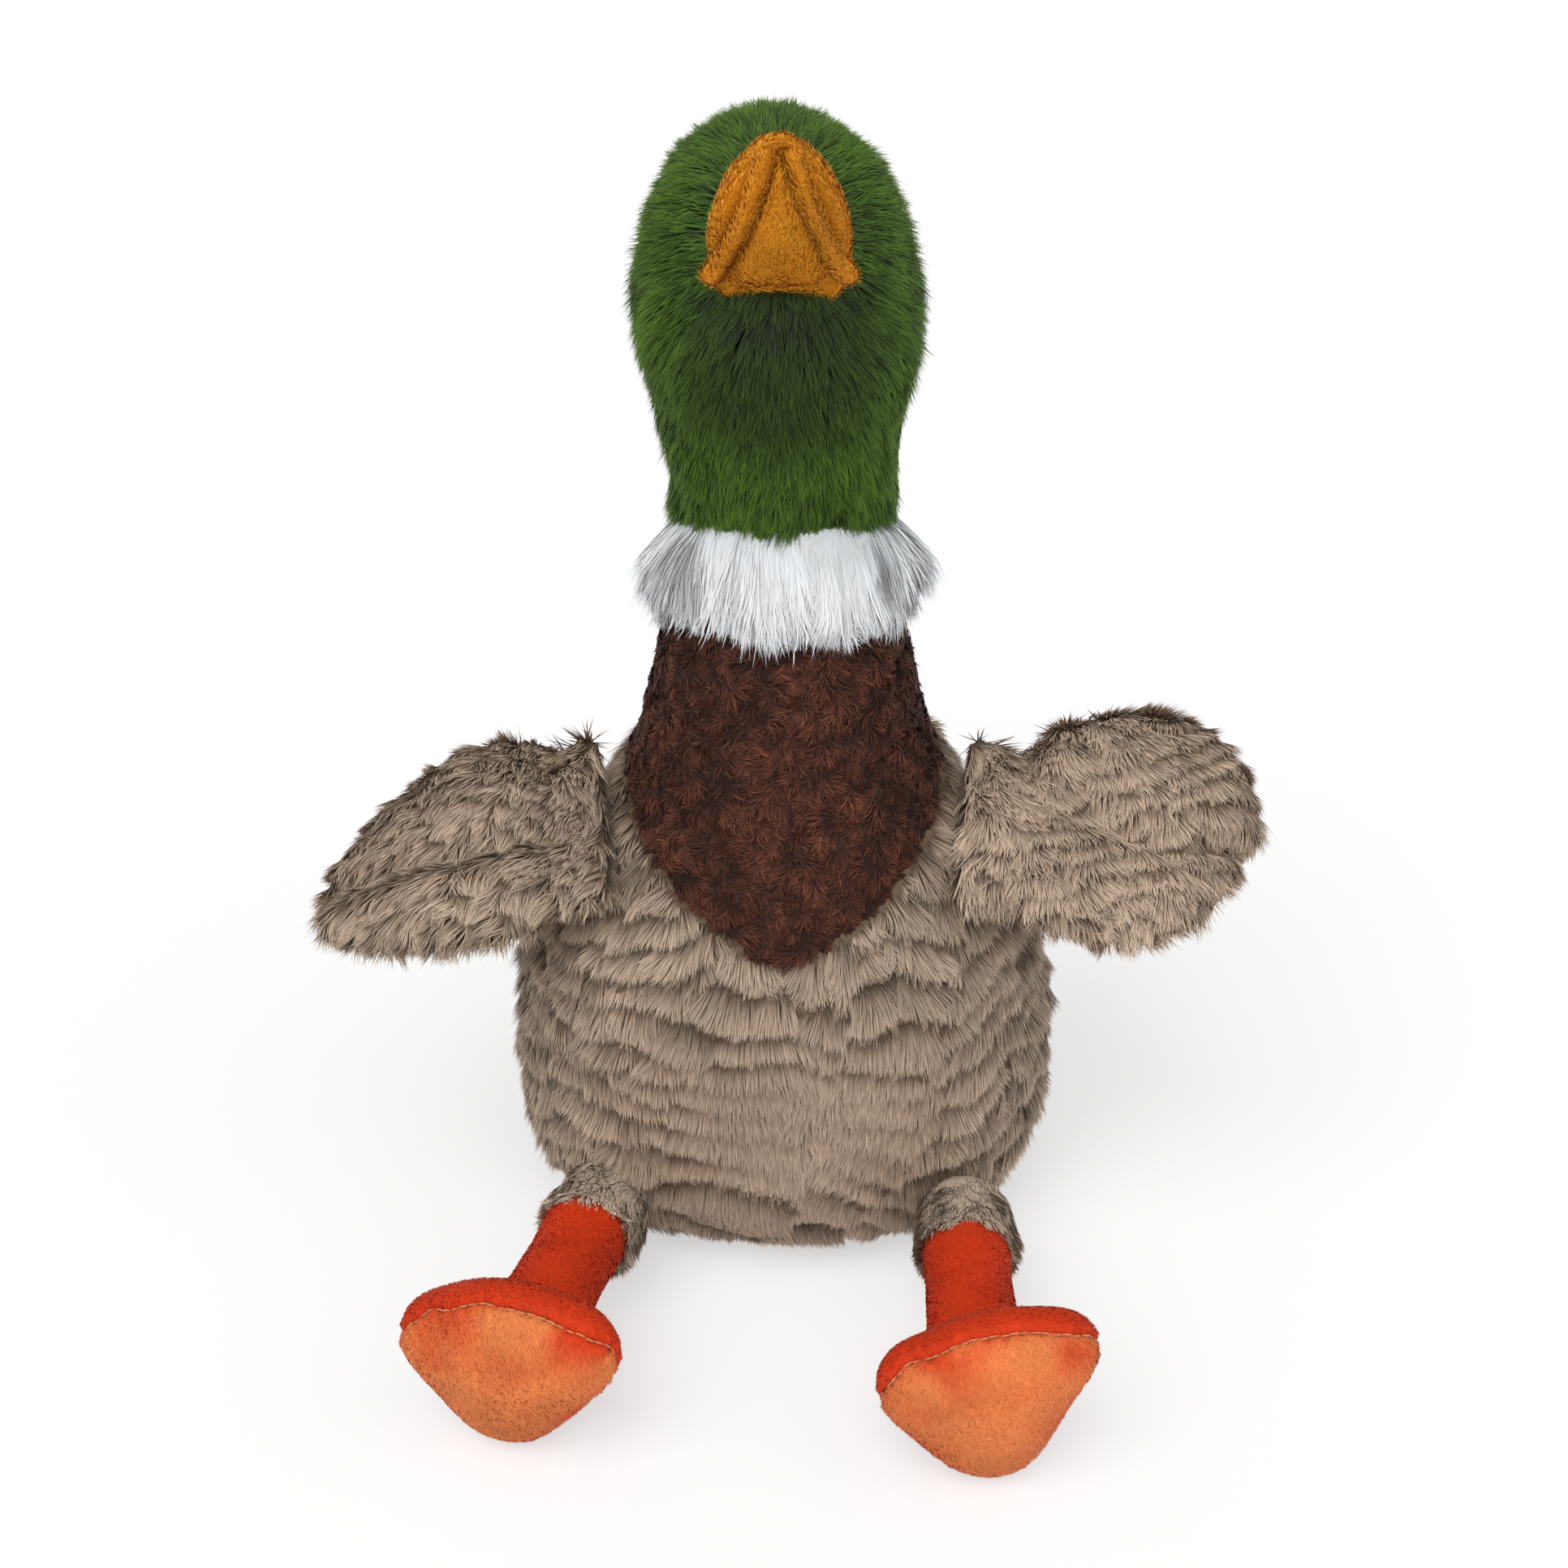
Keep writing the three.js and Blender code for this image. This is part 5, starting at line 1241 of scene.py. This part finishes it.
# the stitches are real thread; their pale colour is a painted highlight for the glint along the seam
seam_thread = backing_material("seam_thread", (0.8, 0.34, 0.16), 0.5 * mm)
cuff_rows = [  # length from the hip, and radius, in mm
    (-15, 0.3),
    (-14.5, 4),
    (-11, 9),
    (-5, 12.6),
    (2, 13.4),
    (7, 13.4),
    (10, 12.9),
    (11, 12.3),
    (11, 0.3),
]
leg_rows = [
    (2, 0.3),
    (2.2, 8),
    (4, 11.4),
    (10, 12.2),
    (26, 11.6),
    (40, 12),
    (48, 12.4),
    (54, 11.2),
    (58.6, 7.4),
    (60.4, 0.3),
]
foot_columns, foot_layers = 180, 55
foot_half = 13.3  # half its thickness in mm
legs = {  # an arc of a foot's outline has its centre across and up in mm, its radius, its start and its end
    "left": {
        "side": -1,
        "splay": math.radians(16),
        "lean": math.radians(6),
        "roll": math.radians(12),
        "aside": 1.1,
        "arcs": [
            (17.9, 2.8, 14.2, -45, 64),
            (1, -19.5, 42, 72, 106),
            (-15.8, 5.3, 13.3, 116, 205),
            (-4.1, -13.6, 16, 207, 313),
        ],
    },
    "right": {
        "side": 1,
        "splay": math.radians(-1),
        "lean": math.radians(2),
        "roll": math.radians(23),
        "aside": 4.7,
        "arcs": [
            (22, 4.9, 8.9, -45, 64),
            (1, -22.5, 42, 72, 106),
            (-13.7, 4.8, 14.7, 116, 205),
            (-5.4, -13, 16, 207, 313),
        ],
    },
}
for body_side, leg in legs.items():
    leg_body = "leg_" + body_side
    leg_out = np.array([leg["side"] * math.sin(leg["splay"]), -math.cos(leg["splay"]), 0])
    leg_up = np.array([0, 0, 1.0])
    leg_across = np.cross(leg_up, leg_out)
    hip = joint_spot("hip_swing_" + body_side)
    ankle = joint_spot("ankle_" + body_side)

    cuff = round_form(cuff_rows, 60, 100, hip, leg_across, leg_up, leg_out)
    cuff.grow(0.8 * mm * ripple(cuff.points, 7 * mm, 90))
    flat_along = (cuff.points - hip) @ leg_out
    radial = cuff.points - hip - flat_along[:, None] * leg_out
    reach = np.linalg.norm(radial, axis=1)
    radial /= np.maximum(reach[:, None], 1e-9)
    nap = leaned(leg_out, radial, 0.7 + 0.3 * ripple(cuff.points, 5 * mm, 92))
    fields = {
        "nap": unit(nap + 0.3 * strays(cuff.points, 4 * mm, 95)),
        "out": 0.5 * radial + 0.5 * cuff.out,
        "pile": 0.46 + 0.16 * ripple(cuff.points, 5 * mm, 93),
        "thick": 1.8 * ((flat_along > -13 * mm) & (reach > 7 * mm)),
        "shade": 0.98 + 0.16 * ripple(cuff.points, 6 * mm, 94),
    }
    bare = cuff.mesh_object("cuff_skin_" + body_side, **fields)
    cuff_pile = {**taupe_pile, "Bend": 0.25, "Lock Size": 3 * mm, "Lock Pull": 0.3}
    pile("thigh_pile_" + body_side, bare, cuff_plush, leg_body, "taupe_fur", **cuff_pile, Seed=18)
    cuff_cover = cuff.mesh_object("thigh_cuff_" + body_side)
    fixed(cuff_cover, cuff_backing, leg_body, "taupe_fur", "thigh_" + body_side)

    sleeve = round_form(leg_rows, 90, 110, hip, leg_across, leg_up, leg_out)
    stuff(sleeve, 3.5 * mm, 3, 0.8 * mm)
    wrinkle = ripple((sleeve.points - hip) @ np.array([leg_across / 3, leg_up / 3, leg_out]).T, 5 * mm, 101)
    sleeve.grow(0.12 * mm * wrinkle)
    velvet_fuzz("leg_pile_" + body_side, sleeve, None, leg_out, orange_velvet, leg_body, "orange_velvet", 19)
    cover = velvet_skin("leg_sleeve_" + body_side, sleeve, None, 0, orange_velvet)
    fixed(cover, None, leg_body, "orange_velvet", "leg_" + body_side, fill=0.8)

    # Its foot: a rounded triangle, wide at the toes, that stands on its heel. The upper panel is of the leg's
    # velvet and comes over the toe edge, the sole panel is painted paler for the light on its nap, and a
    # puckered seam joins them.
    foot_body = "foot_" + body_side
    lean, roll = leg["lean"], leg["roll"]
    foot_out = leg_out * math.cos(lean) - leg_up * math.sin(lean)
    foot_rise = leg_up * math.cos(lean) + leg_out * math.sin(lean)
    foot_across = leg_across * math.cos(roll) + foot_rise * math.sin(roll)
    foot_up = foot_rise * math.cos(roll) - leg_across * math.sin(roll)
    foot_middle = ankle + 19.3 * mm * foot_out + leg["aside"] * mm * foot_across
    outline = []
    for x, y, radius, start, end in leg["arcs"]:
        angles = np.radians(np.linspace(start, end, 40))
        outline.append(np.stack([x + radius * np.cos(angles), y + radius * np.sin(angles)], 1))
    closed = np.concatenate([*outline, outline[0][:1]])
    reach = np.concatenate([[0], np.cumsum(np.linalg.norm(np.diff(closed, axis=0), axis=1))])
    even = np.linspace(0, reach[-1], foot_columns, endpoint=False)
    outline = np.stack([np.interp(even, reach, closed[:, k]) for k in (0, 1)], 1)
    for _ in range(20):
        outline = 0.5 * outline + 0.25 * (np.roll(outline, 1, 0) + np.roll(outline, -1, 0))
    toe = eased(outline[:, 1], 2, 18)
    seam = 0.4 + 3.6 * toe + 2 * ripple(outline, 13.0, 111) + 0.8 * ripple(outline, 5.0, 114)
    layers = np.sin(np.linspace(-0.5, 0.5, foot_layers) * math.pi)[:, None]
    depth = foot_half * layers + seam * (1 - np.abs(layers))
    depth = np.clip(depth, -foot_half * 0.999, foot_half * 0.999)
    scale = (1 - np.abs(depth / foot_half) ** 2.2) ** (1 / 2.2)
    x, y = scale * outline[:, 0], scale * outline[:, 1]
    flat = x[..., None] * foot_across + y[..., None] * foot_up
    rings = foot_middle + mm * (flat + depth[..., None] * foot_out)
    rings += foot_up * (0.2 * mm - rings[..., 2].min()) / foot_up[2]
    foot = Skin(rings)
    stuff(foot, 3.5 * mm, 4, 1.5 * mm)
    filling("foot_filling_" + body_side, foot, 2.8 * mm, foot_body, "foot_stuffing_" + body_side)
    off_seam = np.concatenate([(depth - seam).ravel(), [-foot_half, foot_half]])
    pucker = np.sin(foot.turn * 2 * np.pi * 34 + 3 * ripple(foot.points, 9 * mm, 112))
    dip = -1.3 * np.exp(-((off_seam / 1.1) ** 2)) + 0.35 * pucker * np.exp(-((off_seam / 4.5) ** 2))
    foot.grow(mm * (dip + 0.4 * ripple(foot.points, 14 * mm, 113)))
    # painted shade: within 13 mm of the seam the sole takes the upper's red-orange in patches, for the shade
    # by the seam
    blush = eased(off_seam, 13, 0) * eased(ripple(foot.points, 9 * mm, 115), -0.7, 0.6)
    foot_hair, foot_gather = 1.1 * mm, 0.1
    for name, part, velvet, fabric, seed in (
        ("foot_upper_", off_seam < 0.01, orange_velvet, "orange_velvet", 20),
        ("foot_sole_", off_seam > -0.01, sole_velvet, "sole_velvet", 21),
    ):
        fuzz = (-foot_up, velvet, foot_body, fabric, seed, foot_hair, foot_gather, blush)
        velvet_fuzz(name + "pile_" + body_side, foot, part, *fuzz)
        cover = velvet_skin(name + "panel_" + body_side, foot, part, velvet_thickness, velvet, blush)
        fixed(cover, None, foot_body, fabric, name + body_side, fill=0.8)
    middle_layer = foot_layers // 2
    on_seam = slice(middle_layer * foot_columns, (middle_layer + 1) * foot_columns)
    seam_path = foot.points[on_seam] + 0.35 * mm * foot.out[on_seam]
    sizes = {"Length": 3 * mm, "Thickness": 0.55 * mm}
    stitches("foot_stitches_" + body_side, seam_path, 62, seam_thread, foot_body, "orange_velvet", **sizes)


# Inside: white polyester stuffing in every part, the pellets' cotton pouch in the seat, and the pale plastic
# washers that lock the eyes. Those that nothing replaces keep the solids' own shapes.
pouch_cotton = stuffing_material("pouch_cotton", (0.6, 0.57, 0.5), 1 * mm)
washer_plastic = plastic_material("washer_plastic", (0.7, 0.7, 0.68), 0.35)
inner_finishes = {"stuffing": fibre, "pouch": pouch_cotton, "washer": washer_plastic}
for name, node in frame["nodes"].items():
    for kind, finish in inner_finishes.items():
        if kind in name:
            node.data.materials.clear()
            node.data.materials.append(finish)
